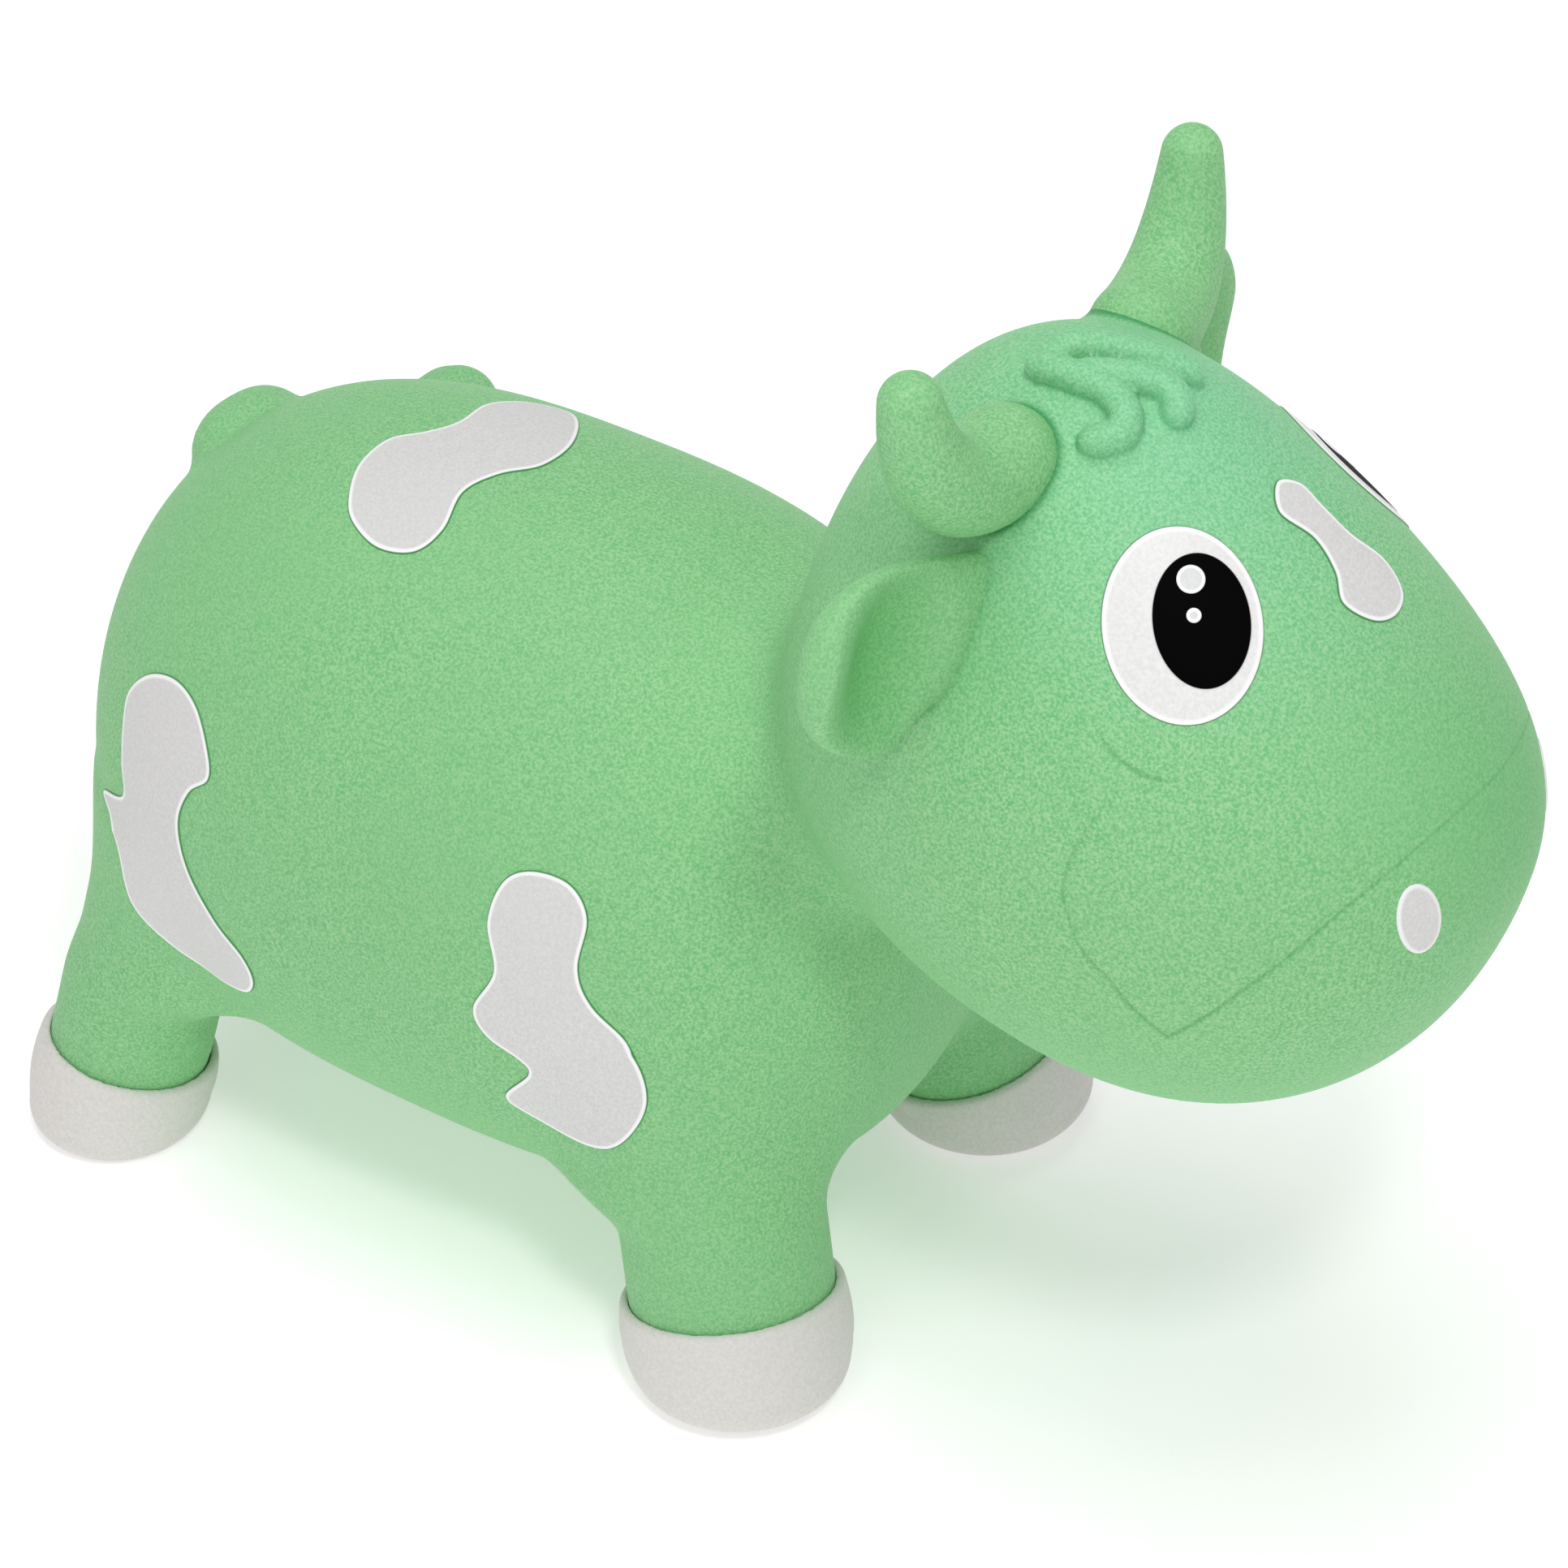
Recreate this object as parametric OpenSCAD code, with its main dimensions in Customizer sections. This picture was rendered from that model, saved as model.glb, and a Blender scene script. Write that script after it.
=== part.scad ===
// Inflatable animal hopper: a green cow with white patches, hooves and painted eyes.
// Millimetres, +X is the way the cow faces, +Y its left side, +Z up.
// The origin is on the floor, under the middle of the whole toy.

/* [Trunk] */
// Length of the trunk, rump to chest
trunk_l = 348; // [310:1:380]
// Width across the flanks
trunk_w = 247; // [220:1:275]
// Height of the back above the trunk's axis
trunk_up = 154; // [135:1:170]
// Depth of the belly below the trunk's axis
trunk_down = 117; // [100:1:121]
// Height of the trunk's axis over the floor
trunk_z = 146.5; // [143:0.5:165]
// Slope of the trunk's axis, falling towards the chest, in degrees
trunk_fall = 2.5; // [0:0.5:6]
// Squareness of the rump and chest in side view, 2 being round
end_power = 2.7; // [2.3:0.1:3.2]
// Squareness of the trunk's cross-section, 2 being round
side_power = 2.1; // [2:0.1:2.5]

/* [Head] */
// Length of the head along its axis
head_l = 266; // [240:1:290]
// Width of the skull
skull_w = 221; // [205:1:240]
// Width of the muzzle
muzzle_w = 211; // [195:1:230]
// Height of the skull above the head's axis
skull_up = 159; // [145:1:170]
// Height of the muzzle above the head's axis
muzzle_up = 90; // [82:1:105]
// Depth of the jowls below the head's axis
jowl_down = 99; // [92:1:112]
// Depth of the muzzle below the head's axis
muzzle_down = 124; // [112:1:136]
// Forward distance from the chest to the head's centre
head_lead = 85; // [72:1:97]
// Rise of the head's centre over the trunk's axis
head_over = 135.5; // [127:0.5:148]
// Downward pitch of the head's axis, in degrees
head_pitch = 11; // [6:1:16]
// Roundness of the head in side view, 2 being round
head_power = 2.2; // [2:0.05:2.4]
// Narrowing of the head towards its crown, as a share of its width for each millimetre of height
brow_taper = 0.0014; // [0.0008:0.0001:0.0018]

/* [Legs] */
// Distance of the front hooves' centres behind the chest
front_inset = 27; // [20:0.5:40]
// Distance of the rear hooves' centres ahead of the rump
rear_inset = 28.5; // [20:0.5:40]
// Distance of the front hooves' centres inside the flank
front_tuck = 29.5; // [22:0.5:38]
// Distance of the rear hooves' centres inside the flank
rear_tuck = 25.5; // [18:0.5:36]
// Radius of the front legs at the ankle
front_leg_r = 38.5; // [35:0.5:42]
// Radius of the rear legs at the ankle
rear_leg_r = 31.5; // [28:0.5:36]
// Lean of the front legs along the length, in degrees
front_lean = 14.5; // [9:0.5:17]
// Lean of the rear legs along the length, in degrees
rear_lean = 10.5; // [7:0.5:16]
// Outward splay of all legs, in degrees
leg_splay = 10.5; // [6:0.5:14]
// Widening of each leg where it runs into the trunk
leg_flare = 12; // [8:1:18]
// Length of leg over which it widens
flare_l = 24; // [18:1:34]
// Straight ankle left above a hoof that is pushed all the way up
ankle_room = 14; // [4:1:18]

/* [Hooves] */
// Height of each hoof along its leg
hoof_h = 38; // [37:1:44]
// Wall of the hoof cup
hoof_wall = 3; // [2:0.5:4]
// Swell of the hoof beyond its rim
hoof_swell = 1.5; // [0.5:0.5:3]
// Thickness of the sole
sole_t = 4; // [3:0.5:5]
// Rounding of the lower edge of the front hooves
front_hoof_round = 19; // [10:1:22]
// Rounding of the lower edge of the rear hooves
rear_hoof_round = 13; // [8:1:18]
// Running clearance between the hoof cup and the leg
hoof_gap = 0.4; // [0.3:0.05:0.6]
// Squash of each leg when the toy bounces
squash = 15; // [10:1:16]

/* [Horns] */
// Radius of the horn at its root
horn_root_r = 18.5; // [16:0.5:21]
// Radius of the horn near its tip
horn_tip_r = 10.5; // [8:0.5:12]
// Outward reach of the horn at its bend
horn_out = 40; // [34:1:47]
// Rise of the horn at its bend
horn_bend = -5.5; // [-9:0.5:3]
// Set-back of the horn at its bend
horn_bend_back = 5; // [0:1:10]
// Outward reach of the horn at its tip
horn_tip_out = 47; // [40:1:53]
// Rise of the horn's tip over its root
horn_rise = 45; // [38:1:52]
// Fullness of the horn's middle, 1 being an even taper
horn_fullness = 2; // [1.2:0.1:2.6]
// Set-back of the horn's tip
horn_back = 8; // [0:1:14]
// Rise of the horn's root centre over the skull
horn_stand = 0.5; // [0:0.5:4]

/* [Ears] */
// Length of the ear beyond its root
ear_l = 63; // [55:1:68]
// Widest width of the ear
ear_w = 67; // [60:1:72]
// Width of the ear at its root
ear_root_w = 52; // [46:1:55]
// Height of the root's middle over the middle of the ear
ear_root_lift = 5; // [0:0.5:7]
// Thickness of the ear
ear_t = 17; // [14:0.5:19]
// Depth of the hollow in the front of the ear
ear_cup = 12; // [8:0.5:13]
// Backward sweep of the ear from straight out, in degrees
ear_sweep = 18; // [10:1:20]
// How much further back the left ear lies than the right one, in degrees
left_ear_back = 8; // [0:1:8]
// Rise of the ear above level, in degrees
ear_rise = 17; // [9:1:23]
// Lean of the ear's upper edge towards the middle plane, in degrees
ear_lean = 13; // [6:1:20]

/* [Flexing roots] */
// Radius of the round seat in which each horn flexes
horn_seat_r = 28; // [26:0.5:31]
// Radius of the round seat in which each ear flexes
ear_seat_r = 28; // [27:0.5:32]
// Clearance between a seat and the part that flexes on it
seat_gap = 0.6; // [0.5:0.05:0.8]

/* [Face] */
// Height of the eye's white
eye_h = 64; // [56:1:70]
// Width of the eye's white
eye_w = 51.5; // [45:0.5:56]
// Height of the pupil
pupil_h = 45; // [38:1:48]
// Width of the pupil
pupil_w = 32.5; // [28:0.5:36]
// Diameter of the larger glint
glint_d = 9.5; // [7:0.5:12]
// Diameter of the smaller glint
small_glint_d = 5; // [4:0.5:7]
// Height of the nostril
nostril_h = 26; // [20:1:30]
// Width of the nostril
nostril_w = 16; // [13:1:20]
// Length of the white blaze on the brow
blaze_l = 58; // [48:1:64]
// Width of the blaze at its lower lobe
blaze_w = 30; // [24:1:34]
// How much lower round the head the left eye and nostril sit than the right ones, in degrees
left_face_low = 3.5; // [0:0.5:4.5]
// Thickness of a paint coat
coat = 0.6; // [0.4:0.1:1]

/* [Relief] */
// Radius of the tail moulded on the rump
tail_r = 17; // [13:0.5:19]
// Height of the tail's middle over the rump, negative being sunk in
tail_raise = -4; // [-6:0.5:0]
// Radius of each forelock strand
lock_r = 5.2; // [4:0.2:5.6]
// Height of the strands' middle over the skull
lock_raise = 1.2; // [0:0.1:2.5]

/* [Valve] */
// Radius of the valve collar's flange
collar_r = 14; // [12:0.5:18]
// Radius of the valve collar's neck
neck_r = 9; // [8:0.5:11]
// Depth of the valve collar
collar_l = 16; // [13:0.5:18]
// Radius of the air hole
air_r = 4.5; // [3.5:0.25:5.5]
// Radius of the plug's head
plug_r = 7.5; // [6.5:0.25:9]
// Thickness of the flange and of the plug's head
flange_t = 2; // [1.5:0.25:3]
// Running clearance of the plug in the air hole
plug_gap = 0.05; // [0.03:0.01:0.08]
// Room left round the collar in the belly
collar_gap = 0.3; // [0.2:0.05:0.4]

/* [Hidden] */

FRONT = 1;
REAR = -1;
LEFT = 1;
RIGHT = -1;

green = [0.50, 0.77, 0.53];
deep_green = [0.44, 0.72, 0.46];
white = [0.87, 0.86, 0.85];
black = [0.02, 0.02, 0.02];

// Fineness of the moulded forms
trunk_rings = 21;
head_rings = 21;
form_sides = 32;
leg_sides = 20;
horn_sides = 12;
ear_sides = 18;
strand_sides = 8;
bowl_sides = 14;
seat_sides = 24;
turned_sides = 64;
pocket_sides = 48;
oval_sides = 40;
nostril_sides = 28;
glint_sides = 20;
arc_steps = 6;
flare_steps = 6;
barrel_steps = 8;
horn_steps = 10;
curve_steps = 4;

// Room between the ear and the head beside its seat
ear_room = 4;

// Where the small parts sit: along the form from -1 at its back to 1 at its front,
// and round it in degrees from its left side, 90 being the top
horn_at = [-0.475, 56.5];
ear_at = [-0.40, 27.5];
eye_at = [0.11, 52.5];
nostril_at = [0.88, 28];
blaze_at = [0.295, 90];
right_lock_route = [[-0.54, 103], [-0.42, 102.5], [-0.33, 102], [-0.265, 104.5], [-0.25, 109], [-0.31, 114]];
middle_lock_route = [[-0.43, 102], [-0.37, 99], [-0.30, 95.5], [-0.235, 93], [-0.185, 94.5], [-0.16, 98.5]];
left_lock_route = [[-0.525, 101.5], [-0.49, 95.5], [-0.43, 92], [-0.35, 89], [-0.27, 86], [-0.195, 84]];
tail_route = [[-0.83, 95], [-0.82, 87], [-0.815, 79], [-0.865, 62], [-0.84, 45], [-0.70, 37], [-0.475, 52]];

// Outlines of the patches: the rump's as distance ahead of the rump and above the trunk's axis,
// the shoulder's as distance ahead of the chest and above the axis, the saddle's as distance
// ahead of the trunk's centre and to the left. The left rump patch sits clear of the tail.
rump_outline = [
    [53, 52], [54, 66], [65, 78], [80, 83], [93, 79], [102, 67], [104, 57], [95, 48], [90, 33],
    [95, 15], [108, -2], [120, -13], [123, -24], [117, -34], [105, -37], [92, -35], [79, -31],
    [60, -19], [53, 2], [46, 10], [38, 15], [55, 25], [54, 38]
];
shoulder_outline = [
    [-119, 46], [-115, 62], [-105, 68], [-91, 66], [-83, 55], [-84, 36], [-78, 22], [-62, 6],
    [-56, -11], [-60, -26], [-70, -37], [-87, -40], [-106, -37], [-113, -30], [-102, -15], [-105, -9],
    [-118, -2], [-123, 9], [-115, 27]
];
left_rump_outline = [for (p = rump_outline) p + [16, -14]];
saddle_outline = [
    [-52, -43], [-58, -28], [-56, -12], [-46, -2], [-40, 10], [-41, 30], [-33, 46], [-20, 51], [-8, 40],
    [2, 20], [2, 2], [-8, -11], [-14, -25], [-11, -42], [-16, -53], [-30, -56], [-44, -51]
];

// General shape functions

function unit(v) = v / norm(v);
function mix(a, b, k) = a + (b - a) * k;
function ease(k) = k * k * (3 - 2 * k);
function signed_power(v, e) = sign(v) * pow(abs(v), e);

// How wide a form of a given squareness is at s, from -1 at one end to 1 at the other
function swell(s, power) = pow(max(0, 1 - pow(abs(s), power)), 1 / power);

// Stations along a form, closer together towards its round ends, the last ones being small flat tips
last_station = 87.5;
function stations(n) = [for (i = [0:n - 1]) sin(mix(-last_station, last_station, i / (n - 1)))];

// A point on a smooth curve through four points, between the second and the third
function spline_at(a, b, c, d, k) =
    0.5 * (2 * b + (c - a) * k + (2 * a - 5 * b + 4 * c - d) * k * k + (3 * b - a - 3 * c + d) * k * k * k);

// A smooth open curve through the points, n steps to each stretch
function open_curve(p, n) = let (m = len(p) - 1) [
    for (i = [0:m - 1]) for (j = [0:n - (i == m - 1 ? 0 : 1)])
        spline_at(p[max(i - 1, 0)], p[i], p[i + 1], p[min(i + 2, m)], j / n)
];

// A smooth closed curve through the points, n steps to each stretch
function closed_curve(p, n) = let (m = len(p)) [
    for (i = [0:m - 1]) for (j = [0:n - 1])
        spline_at(p[(i + m - 1) % m], p[i], p[(i + 1) % m], p[(i + 2) % m], j / n)
];

// The direction of a path at its point i
function heading(path, i) = unit(path[min(i + 1, len(path) - 1)] - path[max(i - 1, 0)]);

// A ring of points square to d, round c
function ring(c, d, r, sides, side_way) =
    let (u = unit(cross(side_way, d)), v = cross(d, u))
    [for (j = [0:sides - 1]) c + r * (cos(360 * j / sides) * u + sin(360 * j / sides) * v)];

// A tube along a path with a radius at each point
function tube(path, radii, sides, side_way) =
    [for (i = [0:len(path) - 1]) ring(path[i], heading(path, i), radii[i], sides, side_way)];

// Radius along a strand with round ends, k from 0 to 1 along a strand l long
strand_end = 0.2;
function strand_r(k, l, r) = let (d = min(k, 1 - k) * l)
    d >= r ? r : max(strand_end * r, sqrt(r * r - (r - d) * (r - d)));

// Distance along a path at each of its points
function path_l(path) = let (n = len(path)) [
    for (i = 0, s = 0; i < n; i = i + 1, s = i < n ? s + norm(path[i] - path[i - 1]) : s) s
];

// A closed solid through rings of equally many points
module skin(rings) {
    n = len(rings[0]);
    m = len(rings);
    polyhedron(
        points = [for (r = rings) each r],
        faces = concat(
            [[for (j = [0:n - 1]) j]],
            [for (i = [0:m - 2]) for (j = [0:n - 1]) each [
                [i * n + j, (i + 1) * n + (j + 1) % n, i * n + (j + 1) % n],
                [i * n + j, (i + 1) * n + j, (i + 1) * n + (j + 1) % n]
            ]],
            [[for (j = [0:n - 1]) m * n - 1 - j]]
        )
    );
}

// Joins what is in it into one moulded skin
module moulded() {
    resize([0, 0, 0]) children();
}

// The trunk's form

function trunk_at(s, t, grow = 0) =
    let (
        w = swell(s, end_power),
        c = signed_power(cos(t), 2 / side_power),
        d = signed_power(sin(t), 2 / side_power),
        x = s * (trunk_l / 2 + grow)
    )
    [
        x,
        (trunk_w / 2 + grow) * w * c,
        trunk_z - x * tan(trunk_fall) + ((d > 0 ? trunk_up : trunk_down) + grow) * w * d
    ];

module trunk_form(grow = 0) {
    skin([for (s = stations(trunk_rings))
        [for (j = [0:form_sides - 1]) trunk_at(s, 360 * j / form_sides, grow)]]);
}

// The head's form

head_ahead = trunk_l / 2 + head_lead;
head_z = trunk_z + head_over;

function head_at(s, t, grow = 0) =
    let (
        k = ease(0.5 + 0.5 * s),
        w = swell(s, head_power),
        tall = (sin(t) > 0 ? mix(skull_up, muzzle_up, k) : mix(jowl_down, muzzle_down, k)) + grow,
        x = s * (head_l / 2 + grow),
        z = tall * w * sin(t),
        y = (mix(skull_w, muzzle_w, k) / 2 + grow) * w * cos(t) * (1 - brow_taper * z)
    )
    [
        head_ahead + x * cos(head_pitch) + z * sin(head_pitch),
        y,
        head_z - x * sin(head_pitch) + z * cos(head_pitch)
    ];

function head_normal(s, t) = unit(cross(
    head_at(s, t + 1) - head_at(s, t - 1),
    head_at(s + 0.01, t) - head_at(s - 0.01, t)
));

// The way along the face, square to the normal
function head_along(s, t) = let (n = head_normal(s, t), d = head_at(s + 0.01, t) - head_at(s - 0.01, t))
    unit(d - n * (d * n));

function on_side(at, side) = [at[0], side > 0 ? at[1] : 180 - at[1]];

head_stations = stations(head_rings);
head_skin = [for (s = head_stations) [for (j = [0:form_sides - 1]) head_at(s, 360 * j / form_sides)]];

module head_form(grow = 0) {
    skin([for (s = head_stations) [for (j = [0:form_sides - 1]) head_at(s, 360 * j / form_sides, grow)]]);
}

// Legs and hooves

function foot(fore, side) = [
    fore == FRONT ? trunk_l / 2 - front_inset : rear_inset - trunk_l / 2,
    side * (trunk_w / 2 - (fore == FRONT ? front_tuck : rear_tuck)),
    0
];
function leg_axis(fore, side) =
    unit([-fore * tan(fore == FRONT ? front_lean : rear_lean), -side * tan(leg_splay), 1]);
function leg_r(fore) = fore == FRONT ? front_leg_r : rear_leg_r;
function bore_r(fore) = leg_r(fore) + hoof_gap;
function rim_r(fore) = bore_r(fore) + hoof_wall;
function leg_tilt(fore) = acos(leg_axis(fore, LEFT)[2]);

module on_leg(fore, side) {
    a = leg_axis(fore, side);
    translate(foot(fore, side)) rotate([0, acos(a[2]), atan2(a[1], a[0])]) children();
}

// Each hoof stands on an upright bowl with a flat sole and a rounded edge, under the leg's axis
foot_slope = 0.83;
function foot_round(fore) = fore == FRONT ? front_hoof_round : rear_hoof_round;
function foot_r(fore) = (rim_r(fore) + hoof_swell) / cos(leg_tilt(fore));
function sole_r(fore) = foot_r(fore) - foot_round(fore);
function sole_middle(fore, side) = let (a = leg_axis(fore, side))
    foot(fore, side) + foot_round(fore) / a[2] * [a[0], a[1], 0];

// Outline of the bowl, or of a smaller one inset in it
function bowl(fore, inset, top) = let (c = sole_r(fore), r = foot_round(fore), a = r - inset) concat(
    [[0, inset], [c, inset]],
    [for (i = [1:arc_steps]) let (t = 90 * i / arc_steps) [c + a * sin(t), r - a * cos(t)]],
    [[c + a + foot_slope * (top - r), top], [0, top]]
);

module foot_bowl(fore, side, inset, top, sides) {
    translate(sole_middle(fore, side)) rotate_extrude($fn = sides) polygon(bowl(fore, inset, top));
}

// The leg is a straight ankle that the hoof slides on, then widens towards the middle of the trunk
// and ends inside it, level with the trunk's axis; its lower end leaves room for the squash
flare_start = hoof_h + squash + ankle_room;
leg_end = 10;
leg_top = max(trunk_z, flare_start + flare_l + leg_end);
inward_shift = 1.25;

function leg_ring(fore, z) =
    let (k = ease(min(1, max(0, (z - flare_start) / flare_l))), r = leg_r(fore) + leg_flare * k)
    [for (j = [0:leg_sides - 1]) [
        inward_shift * leg_flare * k + r * cos(360 * j / leg_sides), r * sin(360 * j / leg_sides), z]];

module leg_form(fore, side) {
    widening = [for (i = [0:flare_steps]) flare_start + flare_l * i / flare_steps];
    heights = concat([-leg_r(fore)], widening, [leg_top]);
    on_leg(fore, side) skin([for (z = heights) leg_ring(fore, z)]);
}

module leg(fore, side) {
    color(green) placed() moulded() difference() {
        intersection() {
            leg_form(fore, side);
            translate(squash * leg_axis(fore, side))
                foot_bowl(fore, side, sole_t + hoof_gap, 2 * leg_top, bowl_sides);
        }
        trunk_form();
    }
}

// Radius of the hoof's barrel at h along the leg, bulging between its rim and its foot
rim_h = hoof_h - hoof_wall / 2;
bulge_end = hoof_h / 5;
function barrel_r(fore, h) =
    rim_r(fore) + hoof_swell * sin(180 * min(1, max(0, (rim_h - h) / (rim_h - bulge_end))));

// Outline of the barrel, from the rim's inner edge round to the axis
function barrel(fore) = concat(
    [[0, hoof_h], [rim_r(fore) - hoof_wall / 2, hoof_h]],
    [for (i = [0:barrel_steps]) let (h = mix(rim_h, bulge_end, i / barrel_steps)) [barrel_r(fore, h), h]],
    [[rim_r(fore), -rim_r(fore)], [0, -rim_r(fore)]]
);

// How far behind its foot the barrel reaches at h along the leg, and the bowl at the same height
function barrel_back(fore, h) = let (x = leg_axis(fore, LEFT)[0])
    h * x - barrel_r(fore, h) * sqrt(1 - x * x);
function foot_back(fore, h) =
    let (
        a = leg_axis(fore, LEFT),
        r = foot_round(fore),
        z = h * a[2] + barrel_r(fore, h) * a[0] * a[2] / sqrt(1 - a[0] * a[0]),
        d = max(0, r - z)
    )
    r * a[0] / a[2] - sole_r(fore) - sqrt(max(0, r * r - d * d)) - max(0, z - r) * foot_slope;

// The toy's ends along X, from which the origin is set at its middle
front_x = max([for (r = head_skin) for (p = r) p[0]]);
back_x = foot(REAR, LEFT)[0]
    + min([for (h = [0:0.5:hoof_h]) max(barrel_back(REAR, h), foot_back(REAR, h))]);
middle_x = (front_x + back_x) / 2;

module placed() {
    translate([-middle_x, 0, 0]) children();
}

module hoof(fore, side) {
    color(white) placed() difference() {
        intersection() {
            on_leg(fore, side) rotate_extrude($fn = turned_sides) polygon(barrel(fore));
            foot_bowl(fore, side, 0, 3 * hoof_h, turned_sides);
        }
        intersection() {
            on_leg(fore, side)
                cylinder(r = bore_r(fore), h = 4 * hoof_h, center = true, $fn = turned_sides);
            foot_bowl(fore, side, sole_t, 4 * hoof_h, turned_sides);
        }
    }
}

// Horns

function horn_base(side) = let (at = on_side(horn_at, side))
    head_at(at[0], at[1]) + [0, 0, horn_stand];

function horn_path(side) =
    let (a = horn_base(side), b = a + [-horn_bend_back, side * horn_out, horn_bend],
        c = a + [-horn_back, side * horn_tip_out, horn_rise])
    [for (i = [0:horn_steps]) let (k = i / horn_steps)
        (1 - k) * (1 - k) * a + 2 * k * (1 - k) * b + k * k * c];

// The horn is a bent sausage with a ball at each end; the tip's ball carries on the slope of the taper
ball_turns = [25, 50, 80];

module horn_form(side) {
    path = horn_path(side);
    n = len(path) - 1;
    radii = [for (i = [0:n]) mix(horn_root_r, horn_tip_r, pow(i / n, horn_fullness))];
    first = heading(path, 0);
    last = heading(path, n);
    slope = atan((radii[n - 1] - radii[n]) / norm(path[n] - path[n - 1]));
    tip_r = horn_tip_r / cos(slope);
    tip_centre = path[n] - last * tip_r * sin(slope);
    root_ball = [for (i = [len(ball_turns) - 1:-1:0]) let (a = ball_turns[i])
        [path[0] - first * horn_root_r * sin(a), horn_root_r * cos(a)]];
    tip_ball = [for (a = ball_turns) let (b = mix(slope, 90, a / 90))
        [tip_centre + last * tip_r * sin(b), tip_r * cos(b)]];
    line = concat(root_ball, [for (i = [0:n]) [path[i], radii[i]]], tip_ball);
    bends = [for (i = [0:n]) heading(path, i)];
    ways = concat([for (b = root_ball) first], bends, [for (b = tip_ball) last]);
    skin([for (i = [0:len(line) - 1]) ring(line[i][0], ways[i], line[i][1], horn_sides, [1, 0, 0])]);
}

module horn_seat(side, grow = 0) {
    translate(horn_base(side)) sphere(r = horn_seat_r + grow, $fn = seat_sides);
}

module horn_root(side) {
    color(deep_green) placed() moulded() difference() {
        intersection() {
            horn_form(side);
            horn_seat(side);
        }
        head_form();
    }
}

module horn(side) {
    color(deep_green) placed() moulded() difference() {
        horn_form(side);
        horn_seat(side, seat_gap);
    }
}

// Ears

function ear_base(side) = let (at = on_side(ear_at, side)) head_at(at[0], at[1]);
function ear_out(side) = let (sweep = ear_sweep + (side == LEFT ? left_ear_back : 0))
    [-sin(sweep) * cos(ear_rise), side * cos(sweep) * cos(ear_rise), sin(ear_rise)];
function ear_up(side) = let (o = ear_out(side), u = [0, -side * sin(ear_lean), cos(ear_lean)])
    unit(u - o * (o * u));
function ear_front(side) = side * cross(ear_up(side), ear_out(side)) * -1;

// Half width of the ear at k from its root to its tip
ear_widest = 0.38;
ear_tip = 1.01;
ear_tip_power = 2.4;
function ear_half(k) = k < ear_widest
    ? mix(ear_root_w, ear_w, ease(max(0, k) / ear_widest)) / 2
    : ear_w / 2 * swell((k - ear_widest) / (ear_tip - ear_widest), ear_tip_power);

// A section of the ear: a leaf hollow at the front, its edge rolled forward at the sides and at the tip
ear_thinning = 3.4;
ear_edge = 0.8;
ear_curl = 0.5;
function ear_section(side, k) =
    let (
        w = ear_half(k),
        lift = ear_root_lift * (1 - ease(min(1, max(0, k / ear_widest)))),
        c = ear_base(side) + ear_out(side) * ear_l * k + ear_up(side) * lift,
        thick = ear_t * min(1, ear_thinning * w / ear_w),
        cup = ear_cup * ease(min(1, max(0, 2 * k))),
        tip = ease(min(1, max(0, (k - ear_curl) / (1 - ear_curl))))
    )
    [for (j = [0:ear_sides - 1])
        let (
            t = side * 360 * j / ear_sides,
            a = cos(t),
            b = sin(t),
            middle = (1 - a * a) * (1 - tip),
            bow = cup * (0.5 - middle),
            dish = b > 0 ? cup / 2 * b * b * (1 - tip) : 0
        )
        c + ear_up(side) * w * a + ear_front(side) * (bow + thick / 2 * signed_power(b, ear_edge) - dish)
    ];

module ear_form(side) {
    places = [-0.24, -0.1, 0.1, 0.25, 0.4, 0.55, 0.68, 0.8, 0.89, 0.95, 0.98, 1];
    skin([for (k = places) ear_section(side, k)]);
}

module ear_seat(side, grow = 0) {
    translate(ear_base(side)) sphere(r = ear_seat_r + grow, $fn = seat_sides);
}

module ear_root(side) {
    color(deep_green) placed() moulded() difference() {
        intersection() {
            ear_form(side);
            ear_seat(side);
        }
        head_form();
    }
}

module ear(side) {
    color(deep_green) placed() moulded() difference() {
        ear_form(side);
        ear_seat(side, seat_gap);
        head_form(ear_room);
    }
}

// Trunk and head

belly_z = trunk_z - trunk_down;

module valve_pocket() {
    translate([0, 0, belly_z]) {
        translate([0, 0, -collar_r])
            cylinder(r = collar_r + collar_gap, h = collar_r + flange_t + collar_gap, $fn = pocket_sides);
        cylinder(r = neck_r + collar_gap, h = collar_l + collar_gap, $fn = pocket_sides);
    }
}

module trunk() {
    color(green) placed() moulded() difference() {
        trunk_form();
        valve_pocket();
    }
}

module head() {
    color(green) placed() moulded() difference() {
        head_form();
        trunk_form();
    }
}

// Relief: tail and forelock

// A strand along a route on the head or the trunk, its middle raised by a height over the skin
function strand(route, r, steps, raised, form) =
    let (
        turns = open_curve(route, steps),
        path = [for (p = turns)
            form == "head" ? head_at(p[0], p[1], raised) : trunk_at(p[0], p[1], raised)],
        at = path_l(path),
        l = at[len(at) - 1]
    )
    tube(path, [for (a = at) strand_r(a / l, l, r)], strand_sides, [0, 0, 1]);

module lock_form(route) {
    skin(strand(route, lock_r, curve_steps, lock_raise, "head"));
}

// A strand of the forelock, which stands on the head and springs from the strands over it
module lock(route, over = []) {
    color(green) placed() moulded() difference() {
        lock_form(route);
        head_form();
        for (upper = over) lock_form(upper);
    }
}

module tail_form() {
    skin(strand(tail_route, tail_r, curve_steps, tail_raise, "trunk"));
}

module tail() {
    color(deep_green) placed() moulded() difference() {
        tail_form();
        trunk_form();
    }
}

// Paint coats

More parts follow.
